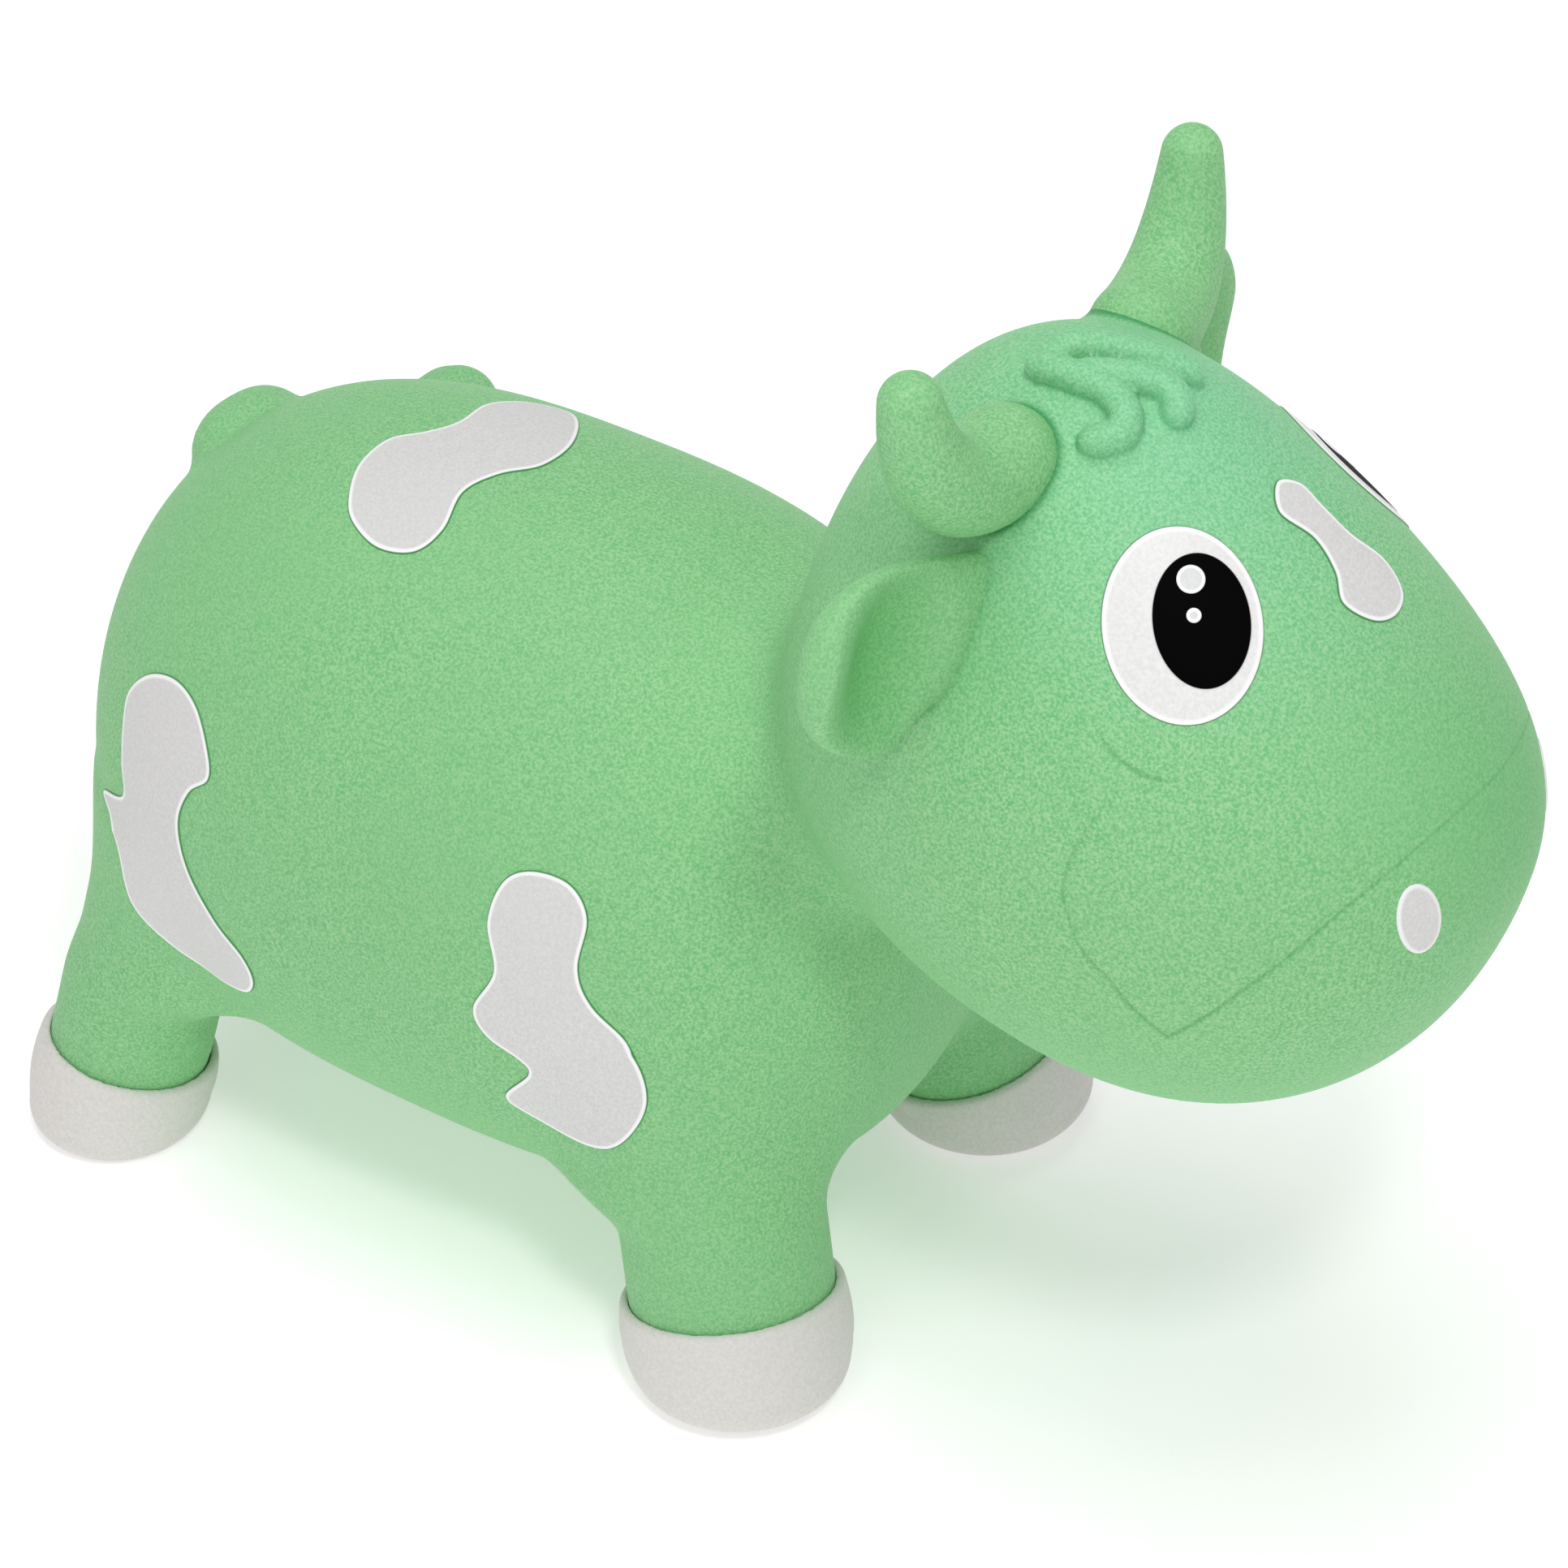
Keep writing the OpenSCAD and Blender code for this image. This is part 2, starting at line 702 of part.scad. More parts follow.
// Turns a flat outline to lie on the head at a place, its second axis along the face
module on_head(at) {
    p = head_at(at[0], at[1]);
    n = head_normal(at[0], at[1]);
    v = head_along(at[0], at[1]);
    u = cross(v, n);
    multmatrix([
        [u[0], v[0], n[0], p[0]],
        [u[1], v[1], n[1], p[1]],
        [u[2], v[2], n[2], p[2]],
        [0, 0, 0, 1]
    ]) children();
}

// The layer of paint on the head between two heights, inside an outline
coat_reach = 40;

module head_coat(at, low, high) {
    moulded() intersection() {
        difference() {
            head_form(high);
            head_form(low);
        }
        on_head(at) translate([0, 0, -coat_reach]) linear_extrude(2 * coat_reach) children();
    }
}

module oval(w, h, sides = oval_sides) {
    polygon([for (j = [0:sides - 1]) [w / 2 * cos(360 * j / sides), h / 2 * sin(360 * j / sides)]]);
}

// Turn of the eye's long axis from the way round the head, and the places of the pupil in the
// white and of the glints in the pupil, as distances towards the brow and towards the muzzle
eye_turn = -49;
pupil_shift = [5, 3.5];
glint_shift = [7.5, -11.5];
small_glint_shift = [-0.5, -3];

// Turn of the nostril's long axis from the way round the head
nostril_turn = -40;

// Place of an eye or a nostril on one side of the face, the left one's a little lower
function face_place(at, side) = on_side(at - [0, side == LEFT ? left_face_low : 0], side);

// Turns an outline drawn for the left side of the face over for the right side
module on_cheek(side) {
    mirror([side > 0 ? 0 : 1, 0]) children();
}

module eye_white(side) {
    color(white) placed() head_coat(face_place(eye_at, side), 0, coat)
        on_cheek(side) rotate(eye_turn) oval(eye_h, eye_w);
}

module pupil(side) {
    color(black) placed() head_coat(face_place(eye_at, side), coat, 2 * coat)
        on_cheek(side) translate(pupil_shift) rotate(eye_turn) oval(pupil_h, pupil_w);
}

module glints(side) {
    color(white) placed() head_coat(face_place(eye_at, side), 2 * coat, 3 * coat)
        on_cheek(side) translate(pupil_shift) {
            translate(glint_shift) oval(glint_d, glint_d, glint_sides);
            translate(small_glint_shift) oval(small_glint_d, small_glint_d, glint_sides);
        }
}

module nostril(side) {
    color(white) placed() head_coat(face_place(nostril_at, side), 0, coat)
        on_cheek(side) rotate(nostril_turn) oval(nostril_h, nostril_w, nostril_sides);
}

// The blaze has a small upper lobe, a waist and a larger lower lobe
blaze_outline = [
    [0.05 * blaze_w, -0.5 * blaze_l], [0.34 * blaze_w, -0.37 * blaze_l], [0.22 * blaze_w, -0.13 * blaze_l],
    [0.31 * blaze_w, 0.08 * blaze_l], [0.51 * blaze_w, 0.24 * blaze_l], [0.33 * blaze_w, 0.43 * blaze_l],
    [0, 0.5 * blaze_l], [-0.35 * blaze_w, 0.44 * blaze_l], [-0.47 * blaze_w, 0.24 * blaze_l],
    [-0.29 * blaze_w, 0], [-0.24 * blaze_w, -0.22 * blaze_l], [-0.22 * blaze_w, -0.4 * blaze_l]
];

module blaze() {
    color(white) placed() head_coat(blaze_at, 0, coat) polygon(closed_curve(blaze_outline, curve_steps));
}

// The layer of paint on the trunk inside a prism
module trunk_coat() {
    moulded() difference() {
        intersection() {
            difference() {
                trunk_form(coat);
                trunk_form();
            }
            children();
        }
        for (fore = [FRONT, REAR]) for (side = [LEFT, RIGHT]) leg_form(fore, side);
        head_form();
        tail_form();
    }
}

module side_patch(outline, fore, side) {
    color(white) placed() trunk_coat() mirror([0, side > 0 ? 1 : 0, 0])
        translate([fore * trunk_l / 2, 0, trunk_z]) rotate([90, 0, 0])
            linear_extrude(trunk_w) polygon(closed_curve(outline, curve_steps));
}

module saddle_patch() {
    color(white) placed() trunk_coat() translate([0, 0, trunk_z])
        linear_extrude(2 * trunk_up) polygon(closed_curve(saddle_outline, curve_steps));
}

// Valve in the belly

module valve_collar() {
    color(white) placed() translate([0, 0, belly_z]) rotate_extrude($fn = turned_sides) polygon([
        [air_r, 0], [collar_r, 0], [collar_r, flange_t], [neck_r, flange_t],
        [neck_r, collar_l], [air_r, collar_l]
    ]);
}

// The plug's head stands a little off the collar, and its stem ends in a tapered nose
plug_stand = 0.3;
nose_l = 2;
nose_in = 1.5;
stem_end = collar_l - 1;

module valve_plug() {
    color(white) placed() translate([0, 0, belly_z]) rotate_extrude($fn = turned_sides) polygon([
        [0, -flange_t - plug_stand], [plug_r, -flange_t - plug_stand], [plug_r, -plug_stand],
        [air_r - plug_gap, -plug_stand], [air_r - plug_gap, stem_end - nose_l],
        [air_r - nose_in, stem_end], [0, stem_end]
    ]);
}

trunk();
head();
leg(FRONT, LEFT);  // front_left_leg
leg(FRONT, RIGHT);  // front_right_leg
leg(REAR, LEFT);  // rear_left_leg
leg(REAR, RIGHT);  // rear_right_leg
hoof(FRONT, LEFT);  // front_left_hoof
hoof(FRONT, RIGHT);  // front_right_hoof
hoof(REAR, LEFT);  // rear_left_hoof
hoof(REAR, RIGHT);  // rear_right_hoof
horn_root(LEFT);  // left_horn_root
horn_root(RIGHT);  // right_horn_root
horn(LEFT);  // left_horn
horn(RIGHT);  // right_horn
ear_root(LEFT);  // left_ear_root
ear_root(RIGHT);  // right_ear_root
ear(LEFT);  // left_ear
ear(RIGHT);  // right_ear
lock(right_lock_route);  // right_lock
lock(middle_lock_route, [right_lock_route, left_lock_route]);  // middle_lock
lock(left_lock_route, [right_lock_route]);  // left_lock
tail();
eye_white(LEFT);  // left_eye_white
eye_white(RIGHT);  // right_eye_white
pupil(LEFT);  // left_pupil
pupil(RIGHT);  // right_pupil
glints(LEFT);  // left_glints
glints(RIGHT);  // right_glints
nostril(LEFT);  // left_nostril
nostril(RIGHT);  // right_nostril
blaze();
saddle_patch();
side_patch(rump_outline, REAR, RIGHT);  // right_rump_patch
side_patch(left_rump_outline, REAR, LEFT);  // left_rump_patch
side_patch(shoulder_outline, FRONT, RIGHT);  // right_shoulder_patch
side_patch(shoulder_outline, FRONT, LEFT);  // left_shoulder_patch
valve_collar();
valve_plug();
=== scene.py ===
import bmesh
import bpy
import numpy as np
from mathutils import Matrix, Vector
from mathutils.bvhtree import BVHTree
from mathutils.geometry import delaunay_2d_cdt


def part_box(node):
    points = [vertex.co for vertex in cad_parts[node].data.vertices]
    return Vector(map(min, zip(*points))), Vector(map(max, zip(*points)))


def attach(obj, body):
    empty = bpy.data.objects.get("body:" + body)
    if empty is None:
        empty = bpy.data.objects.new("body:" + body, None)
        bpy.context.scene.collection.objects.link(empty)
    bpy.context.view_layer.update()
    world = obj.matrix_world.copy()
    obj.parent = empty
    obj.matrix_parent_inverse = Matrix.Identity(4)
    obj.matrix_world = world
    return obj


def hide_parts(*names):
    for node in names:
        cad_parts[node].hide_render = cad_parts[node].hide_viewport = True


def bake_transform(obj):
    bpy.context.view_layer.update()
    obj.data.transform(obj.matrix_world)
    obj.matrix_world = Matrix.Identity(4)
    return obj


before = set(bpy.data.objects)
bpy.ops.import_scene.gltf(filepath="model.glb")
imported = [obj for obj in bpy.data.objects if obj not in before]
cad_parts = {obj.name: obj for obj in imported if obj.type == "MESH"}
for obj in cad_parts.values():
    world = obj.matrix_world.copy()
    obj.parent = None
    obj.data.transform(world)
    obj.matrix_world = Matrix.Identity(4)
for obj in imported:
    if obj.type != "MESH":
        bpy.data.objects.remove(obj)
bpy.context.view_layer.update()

# Shapes are worked out in millimetres from the trunk's centre on the floor, +x ahead, +y left, +z up
trunkLow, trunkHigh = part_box("trunk")
trunkMiddle = np.array([500 * (trunkLow.x + trunkHigh.x), 0, 0])
left, right = 1, -1
sideNames = {left: "left", right: "right"}
print("frame loaded, trunk's centre at", trunkMiddle.round(2), "mm")


# General shape functions

def mix(a, b, k):
    # a at k 0, b at k 1
    return a + (b - a) * k


def ease(k):
    # smooth step from 0 to 1
    k = np.clip(k, 0, 1)
    return k * k * (3 - 2 * k)


def onSide(t, side):
    # degrees round the trunk or head, mirrored for the right side
    return t if side == left else 180 - t


def inFrame(p):
    # metres in the shared frame, from millimetres about the trunk's centre
    return (p + trunkMiddle) * 0.001


def signedPower(v, e):
    # power of the size, with the sign kept
    return np.sign(v) * np.abs(v) ** e


def swell(s, power):
    # half width of a squared circle at s from -1 to 1
    return np.maximum(0, 1 - np.abs(s) ** power) ** (1 / power)


def unit(v):
    # each vector over its length
    return v / np.maximum(np.linalg.norm(v, axis=-1, keepdims=True), 1e-12)


def smoothMin(a, b, k):
    # the lesser of two distances, rounded off within k of where they are equal
    h = np.clip(0.5 + 0.5 * (b - a) / k, 0, 1)
    return b + (a - b) * h - k * h * (1 - h)


def smoothMax(a, b, k):
    # the greater of two distances, rounded off the same way
    return -smoothMin(-a, -b, k)


def curveThrough(points, steps, closed=False):
    # Catmull-Rom curve through the points: each stretch is a cubic in k weighted by its four nearest points
    p = np.asarray(points, float)
    n = len(p)
    i = np.arange(n if closed else n - 1)[:, None]
    k = (np.arange(steps) / steps)[None, :, None]
    pick = (lambda j: p[j % n]) if closed else (lambda j: p[np.clip(j, 0, n - 1)])
    a, b, c, d = (pick(i + j) for j in (-1, 0, 1, 2))
    curve = 0.5 * (2 * b + (c - a) * k + (2 * a - 5 * b + 4 * c - d) * k**2 + (3 * b - a - 3 * c + d) * k**3)
    curve = curve.reshape(-1, p.shape[1])
    return curve if closed else np.vstack([curve, p[-1]])


# The trunk and the head: squared ovals whose size swells and shrinks along an axis

trunkShape = dict(length=348, width=247, up=154, down=117, height=146.5, fall=2.5, endPower=2.7, sidePower=2.1)
headShape = dict(
    length=266, skullWidth=221, muzzleWidth=211, skullUp=159, muzzleUp=90, jowlDown=99, muzzleDown=124,
    ahead=259, height=282, pitch=11, endPower=2.2, browTaper=0.0014, narrowest=0.3)


def trunkAt(s, t, grow=0):
    # point on the trunk at s along it and t degrees round it, 0 being the left and 90 the top
    g = trunkShape
    s, t = np.asarray(s, float), np.radians(t)
    w = swell(s, g["endPower"])
    c, d = (signedPower(f(t), 2 / g["sidePower"]) for f in (np.cos, np.sin))
    x = s * (g["length"] / 2 + grow)
    tall = np.where(d > 0, g["up"], g["down"]) + grow
    z = g["height"] - x * np.tan(np.radians(g["fall"])) + tall * w * d
    return np.stack([x, (g["width"] / 2 + grow) * w * c, z], -1)


def trunkForm(p):
    # 1 on the trunk's surface, less inside: the two end and side powers summed as one squared distance
    g = trunkShape
    s = p[:, 0] / (g["length"] / 2)
    z = p[:, 2] - g["height"] + p[:, 0] * np.tan(np.radians(g["fall"]))
    tall = np.where(z > 0, g["up"], g["down"])
    q, e = g["sidePower"], g["endPower"]
    r = ((np.abs(p[:, 1]) / (g["width"] / 2)) ** q + (np.abs(z) / tall) ** q) ** (1 / q)
    return (r**e + np.abs(s) ** e) ** (1 / e)


def headSizes(s):
    # half width, height above and depth below the head's axis at s along it
    g, k = headShape, ease(0.5 + 0.5 * s)
    return (mix(g["skullWidth"], g["muzzleWidth"], k) / 2, mix(g["skullUp"], g["muzzleUp"], k),
            mix(g["jowlDown"], g["muzzleDown"], k))


def headAt(s, t, grow=0):
    # point on the head at s along it and t degrees round it, narrower towards the crown and pitched down
    g = headShape
    s, t = np.asarray(s, float), np.radians(t)
    w = swell(s, g["endPower"])
    wide, up, down = headSizes(s)
    x = s * (g["length"] / 2 + grow)
    z = (np.where(np.sin(t) > 0, up, down) + grow) * w * np.sin(t)
    y = (wide + grow) * w * np.cos(t) * (1 - g["browTaper"] * z)
    a = np.radians(g["pitch"])
    return np.stack(np.broadcast_arrays(
        g["ahead"] + x * np.cos(a) + z * np.sin(a), y, g["height"] - x * np.sin(a) + z * np.cos(a)), -1)


def headForm(p):
    # 1 on the head's surface, less inside, in the head's own pitched axes
    g, a = headShape, np.radians(headShape["pitch"])
    dx, dz = p[:, 0] - g["ahead"], p[:, 2] - g["height"]
    s = (dx * np.cos(a) - dz * np.sin(a)) / (g["length"] / 2)
    z = dx * np.sin(a) + dz * np.cos(a)
    wide, up, down = headSizes(s)
    narrow = wide * np.maximum(1 - g["browTaper"] * z, g["narrowest"])
    r, e = np.hypot(p[:, 1] / narrow, z / np.where(z > 0, up, down)), g["endPower"]
    return (r**e + np.abs(s) ** e) ** (1 / e)


def formDistance(form, p):
    # distance to a form: how far its value is from 1, over its steepness by small steps
    e, value = 0.25, form(p)
    slope = [(form(p + step) - value) / e for step in np.eye(3) * e]
    return (value - 1) / np.maximum(np.sqrt(sum(v * v for v in slope)), 1e-5)


# The legs: straight ankles that widen into the trunk

legShape = dict(
    front=dict(x=147, y=94, radius=38.5, lean=14.5, footRound=19),
    rear=dict(x=-145.5, y=98, radius=31.5, lean=10.5, footRound=13),
    splay=10.5, flare=12, flareStart=67, flareLength=24, flareShift=1.25, top=146.5,
    squash=15, endGap=0.6, endSoft=2)
hoofShape = dict(
    height=38, wall=3.2, gap=0.2, swell=1.5, swellShare=0.8, sole=4, slope=0.83, lip=2.4, inner=0.5, edge=5,
    step=1.3, rounds=3, boxLow=(-62, -62, -4), boxHigh=(62, 62, 58))
legNames = [(fore, side) for fore in ("front", "rear") for side in (left, right)]


def legAxes(fore, side):
    # foot, leg's axis, the way it leans and the way across it
    g = legShape[fore]
    ahead = 1 if fore == "front" else -1
    lean, splay = (np.tan(np.radians(a)) for a in (g["lean"], legShape["splay"]))
    axis = unit(np.array([-ahead * lean, -side * splay, 1]))
    across = unit(np.array([-axis[1], axis[0], 0]))
    return np.array([g["x"], side * g["y"], 0]), axis, np.cross(across, axis), across


def bowlDistance(p, fore, side, inset=0.0):
    # an upright bowl under the leg: a flat sole, a rounded edge, then a widening cone
    g, axis = hoofShape, legAxes(fore, side)[1]
    edge = legShape[fore]["footRound"]
    reach = (legShape[fore]["radius"] + g["gap"] + g["wall"] + g["swell"]) / axis[2]
    middle = legAxes(fore, side)[0] + edge / axis[2] * np.array([axis[0], axis[1], 0])
    out = np.hypot(p[:, 0] - middle[0], p[:, 1] - middle[1]) - (reach - edge)
    low = np.hypot(np.maximum(out, 0), edge - p[:, 2]) - edge
    cone = (out - edge - g["slope"] * (p[:, 2] - edge)) / np.hypot(1, g["slope"])
    return np.where(p[:, 2] < edge, low, cone) + inset


def legDistance(p, fore, side):
    # distance to a tube round the leg's axis whose radius grows by the flare towards the trunk; it ends in the
    # hoof's bowl moved up by the squash, so that the hoof has room to ride up
    g = legShape
    foot, axis, lean, across = legAxes(fore, side)
    h, u, v = ((p - foot) @ way for way in (axis, lean, across))
    k = ease((h - g["flareStart"]) / g["flareLength"])
    tube = np.hypot(u - g["flareShift"] * g["flare"] * k, v) - g[fore]["radius"] - g["flare"] * k
    bowl = bowlDistance(p - g["squash"] * axis, fore, side, hoofShape["sole"] + g["endGap"])
    return np.maximum(smoothMax(tube, bowl, g["endSoft"]), h - g["top"])


# The moulded relief: tail, forelock and the fine lines of the face

tailShape = dict(
    route=[[-0.83, 95], [-0.82, 87], [-0.815, 79], [-0.865, 62], [-0.84, 45], [-0.70, 37], [-0.475, 52]],
    radius=17, raised=-4, blend=5, steps=8, endShare=0.2)
lockShape = dict(
    routes=dict(
        right=[[-0.54, 103], [-0.42, 102.5], [-0.33, 102], [-0.265, 104.5], [-0.25, 109], [-0.31, 114]],
        middle=[[-0.43, 102], [-0.37, 99], [-0.30, 95.5], [-0.235, 93], [-0.185, 94.5], [-0.16, 98.5]],
        left=[[-0.525, 101.5], [-0.49, 95.5], [-0.43, 92], [-0.35, 89], [-0.27, 86], [-0.195, 84]]),
    # shade and shadeReach: strength and reach of the painted shade at the foot of the strands
    radius=5.7, raised=1.6, blend=2.0, shade=0.6, shadeReach=1.3, steps=8, endShare=0.2)
lineShape = dict(
    smile=[[0.05, 30.5], [0.10, 29], [0.16, 28.8], [0.22, 29.5], [0.275, 31.5]],
    cheek=[[0.15, 24], [0.13, 19], [0.115, 12], [0.12, 6.5], [0.15, 2.5], [0.22, -3.5], [0.30, -7], [0.36, -11],
           [0.47, -17]],
    mouth=[[0.47, -17], [0.56, -7.5], [0.65, 5.5], [0.725, 23], [0.79, 42], [0.835, 65]],
    mouthMiddle=[0.855, 90], smileFades=[(0, 0.25, 0.6), (1, 0.25, 0.6)],
    cheekFades=[(0, 0.3, 0.7), (0.5, 0.5, 0.25)], mouthFades=[(0.5, 0.4, 0.45)],
    depth=0.65, width=0.75, steps=10)


def strandPath(at, shape, route):
    # points along a strand, and the radius at each, rounded off at both ends
    s, t = curveThrough(route, shape["steps"]).T
    path = at(s, t, shape["raised"])
    gone = np.concatenate([[0], np.cumsum(np.linalg.norm(np.diff(path, axis=0), axis=1))])
    r = shape["radius"]
    near = np.minimum(np.minimum(gone, gone[-1] - gone), r)
    radii = np.maximum(np.sqrt(r * r - (r - near) ** 2), shape["endShare"] * r)
    return path, radii


def pathDistance(p, path, radii, reach=25.0):
    # distance to the nearest of a path's tapered stretches, worked out only near the path
    far = np.full(len(p), reach)
    near = np.all((p > path.min(0) - reach) & (p < path.max(0) + reach), axis=1)
    q = p[near]
    best = np.full(len(q), reach)
    for a, b, ra, rb in zip(path[:-1], path[1:], radii[:-1], radii[1:]):
        d = b - a
        k = np.clip((q - a) @ d / (d @ d), 0, 1)
        best = np.minimum(best, np.linalg.norm(q - a - k[:, None] * d, axis=1) - mix(ra, rb, k))
    far[near] = best
    return far


def mirrored(route):
    # a route on the other side of the face
    return [[s, 180 - t] for s, t in route]


def linePath(route, fades):
    # points along a fine line of the face, and how faint it is at each: each fade is strongest at its own place
    # along the line and ends a reach away from it
    path = headAt(*curveThrough(route, lineShape["steps"]).T)
    k = np.linspace(0, 1, len(path))
    return path, -sum(most * (1 - ease(np.abs(k - at) / reach)) for at, reach, most in fades)


tailPath = strandPath(trunkAt, tailShape, tailShape["route"])
lockPaths = [strandPath(headAt, lockShape, r) for r in lockShape["routes"].values()]
linePaths = [
    linePath(r, lineShape[name + "Fades"])
    for name in ("smile", "cheek") for r in (lineShape[name], mirrored(lineShape[name]))]
wholeMouth = lineShape["mouth"] + [lineShape["mouthMiddle"]] + mirrored(lineShape["mouth"])[::-1]
linePaths.append(linePath(wholeMouth, lineShape["mouthFades"]))

# Horns: their shape also sets the soft swelling of the skull at their roots

hornShape = dict(
    at=(-0.475, 56.5), stand=0.5, rootRadius=18.5, tipRadius=10.5, out=40, bend=-5.5, bendBack=5, tipOut=47,
    rise=45, back=8, fullness=2, rings=44, capRings=14, capFrom=0.05, capTo=0.97, sides=40, flexReach=28,
    swellShift=(-1.5, 0, 1.5), swellInset=2.5, swellBlend=9)


def hornRings(side):
    # a sausage carried along a quadratic curve, its radius falling from root to tip, with a ball at each end;
    # the tip's ball carries on the slope of the taper
    g = hornShape
    s, t = g["at"]
    a = headAt(s, onSide(t, side)) + [0, 0, g["stand"]]
    b = a + [-g["bendBack"], side * g["out"], g["bend"]]
    c = a + [-g["back"], side * g["tipOut"], g["rise"]]
    k = np.linspace(0, 1, g["rings"])[:, None]
    path = (1 - k) ** 2 * a + 2 * k * (1 - k) * b + k**2 * c
    way = unit((1 - k) * (b - a) + k * (c - b))
    radius = mix(g["rootRadius"], g["tipRadius"], k**g["fullness"])
    slope = np.arctan((radius[-2, 0] - radius[-1, 0]) / np.linalg.norm(path[-1] - path[-2]))
    share = np.linspace(g["capFrom"], g["capTo"], g["capRings"])[:, None]
    rootTurn, tipTurn = (1 - share) * np.pi / 2, mix(slope, np.pi / 2, share)
    tipRadius = g["tipRadius"] / np.cos(slope)
    tipMiddle = path[-1] - way[-1] * tipRadius * np.sin(slope)
    rootBall = (path[0] - way[0] * g["rootRadius"] * np.sin(rootTurn), way[0] + 0 * share,
                g["rootRadius"] * np.cos(rootTurn))
    tipBall = (tipMiddle + way[-1] * tipRadius * np.sin(tipTurn), way[-1] + 0 * share,
               tipRadius * np.cos(tipTurn))
    outward = way[0]
    path, way, radius = (np.vstack(q) for q in zip(rootBall, (path, way, radius), tipBall))
    u = unit(np.cross([1, 0, 0], way))
    v = np.cross(way, u)
    angle = np.linspace(0, 2 * np.pi, g["sides"], endpoint=False)[None, :, None]
    rim = np.cos(angle) * u[:, None] + np.sin(angle) * v[:, None]
    return path[:, None] + radius[:, None] * rim, a, outward


# The whole moulded skin

skinShape = dict(
    boxLow=(-184, -144, 12), boxHigh=(402, 144, 446), step=4.0, rounds=2, legBlend=16, neckBlend=11,
    neckSoft=45, neckTop=330, neckFade=45, throatFrom=150, throatFade=60,
    fineZone=9, finerZone=4.5, finestZone=2.0,
    # below: the reaches and shares of the painted shade in the grooves, round the horns and ears and at the
    # front end of the muzzle, and of the painted bluish reflection on the top of the head
    tailMargin=3, lineShade=0.7, contactShade=1.8, earContactShade=0.3, crownAt=(-0.15, 93), crownReach=85,
    crownShare=0.65, noseAt=(0.93, 75), noseReach=55, noseShare=0.6)
valveShape = dict(radius=14.4, depth=3.5, belly=29.5)


def lineDistance(p):
    # distance to the nearest fine line of the face, greater where the line is faint
    return np.minimum.reduce([pathDistance(p, *q) for q in linePaths])


def lockDistance(p):
    # distance to the nearest strand of the forelock
    return np.minimum.reduce([pathDistance(p, *q) for q in lockPaths])


def valveDistance(p):
    # distance to the round recess in the belly that the valve sits in
    g = valveShape
    return np.maximum(np.hypot(p[:, 0], p[:, 1]) - g["radius"], p[:, 2] - g["belly"] - g["depth"])


def skullDistance(p):
    # the head with a soft swelling behind each horn's root
    g, d = hornShape, formDistance(headForm, p)
    for side in (left, right):
        s, t = g["at"]
        middle = headAt(s, onSide(t, side)) + g["swellShift"]
        lump = np.linalg.norm(p - middle, axis=1) - g["rootRadius"] + g["swellInset"]
        d = smoothMin(d, lump, g["swellBlend"])
    return d


def barrelWithLegs(p):
    # the trunk run together with its legs
    d = formDistance(trunkForm, p)
    for fore, side in legNames:
        d = smoothMin(d, legDistance(p, fore, side), skinShape["legBlend"])
    return d


def bodyDistance(p):
    # the trunk and legs with the tail moulded on
    return smoothMin(barrelWithLegs(p), pathDistance(p, *tailPath), tailShape["blend"])


def skinDistance(p):
    # trunk and head run together, most softly at the sides of the neck, with tail and forelock moulded on, less
    # the fine grooves and the valve's recess
    g, z = skinShape, p[:, 2]
    soft = ease((g["neckTop"] - z) / g["neckFade"]) * ease((z - g["throatFrom"]) / g["throatFade"])
    d = smoothMin(barrelWithLegs(p), skullDistance(p), mix(g["neckBlend"], g["neckSoft"], soft))
    d = smoothMin(d, pathDistance(p, *tailPath), tailShape["blend"])
    d = smoothMin(d, lockDistance(p), lockShape["blend"])
    d = d + lineShape["depth"] * np.exp(-((lineDistance(p) / lineShape["width"]) ** 2))
    return np.maximum(d, -valveDistance(p))


# Surfaces from distances

def slopeOf(field, p, e=0.1):
    # the way a distance grows, by small steps either way
    return np.stack([(field(p + step) - field(p - step)) / (2 * e) for step in np.eye(3) * e], -1)


settleLimits = dict(leastSlope=0.05, leastRate=0.15, furthest=4, furthestAlong=8)


def settle(field, p, rounds, along=None):
    # moves points onto the surface where the distance is 0, down its slope or along a given way
    g = settleLimits
    for _ in range(rounds):
        value, slope = field(p), slopeOf(field, p)
        if along is None:
            step = value / np.maximum((slope**2).sum(1), g["leastSlope"])
            p = p - np.clip(step, -g["furthest"], g["furthest"])[:, None] * slope
        else:
            rate = slope @ along
            rate = np.copysign(np.maximum(np.abs(rate), g["leastRate"]), rate)
            p = p - np.clip(value / rate, -g["furthestAlong"], g["furthestAlong"])[:, None] * along
    return p


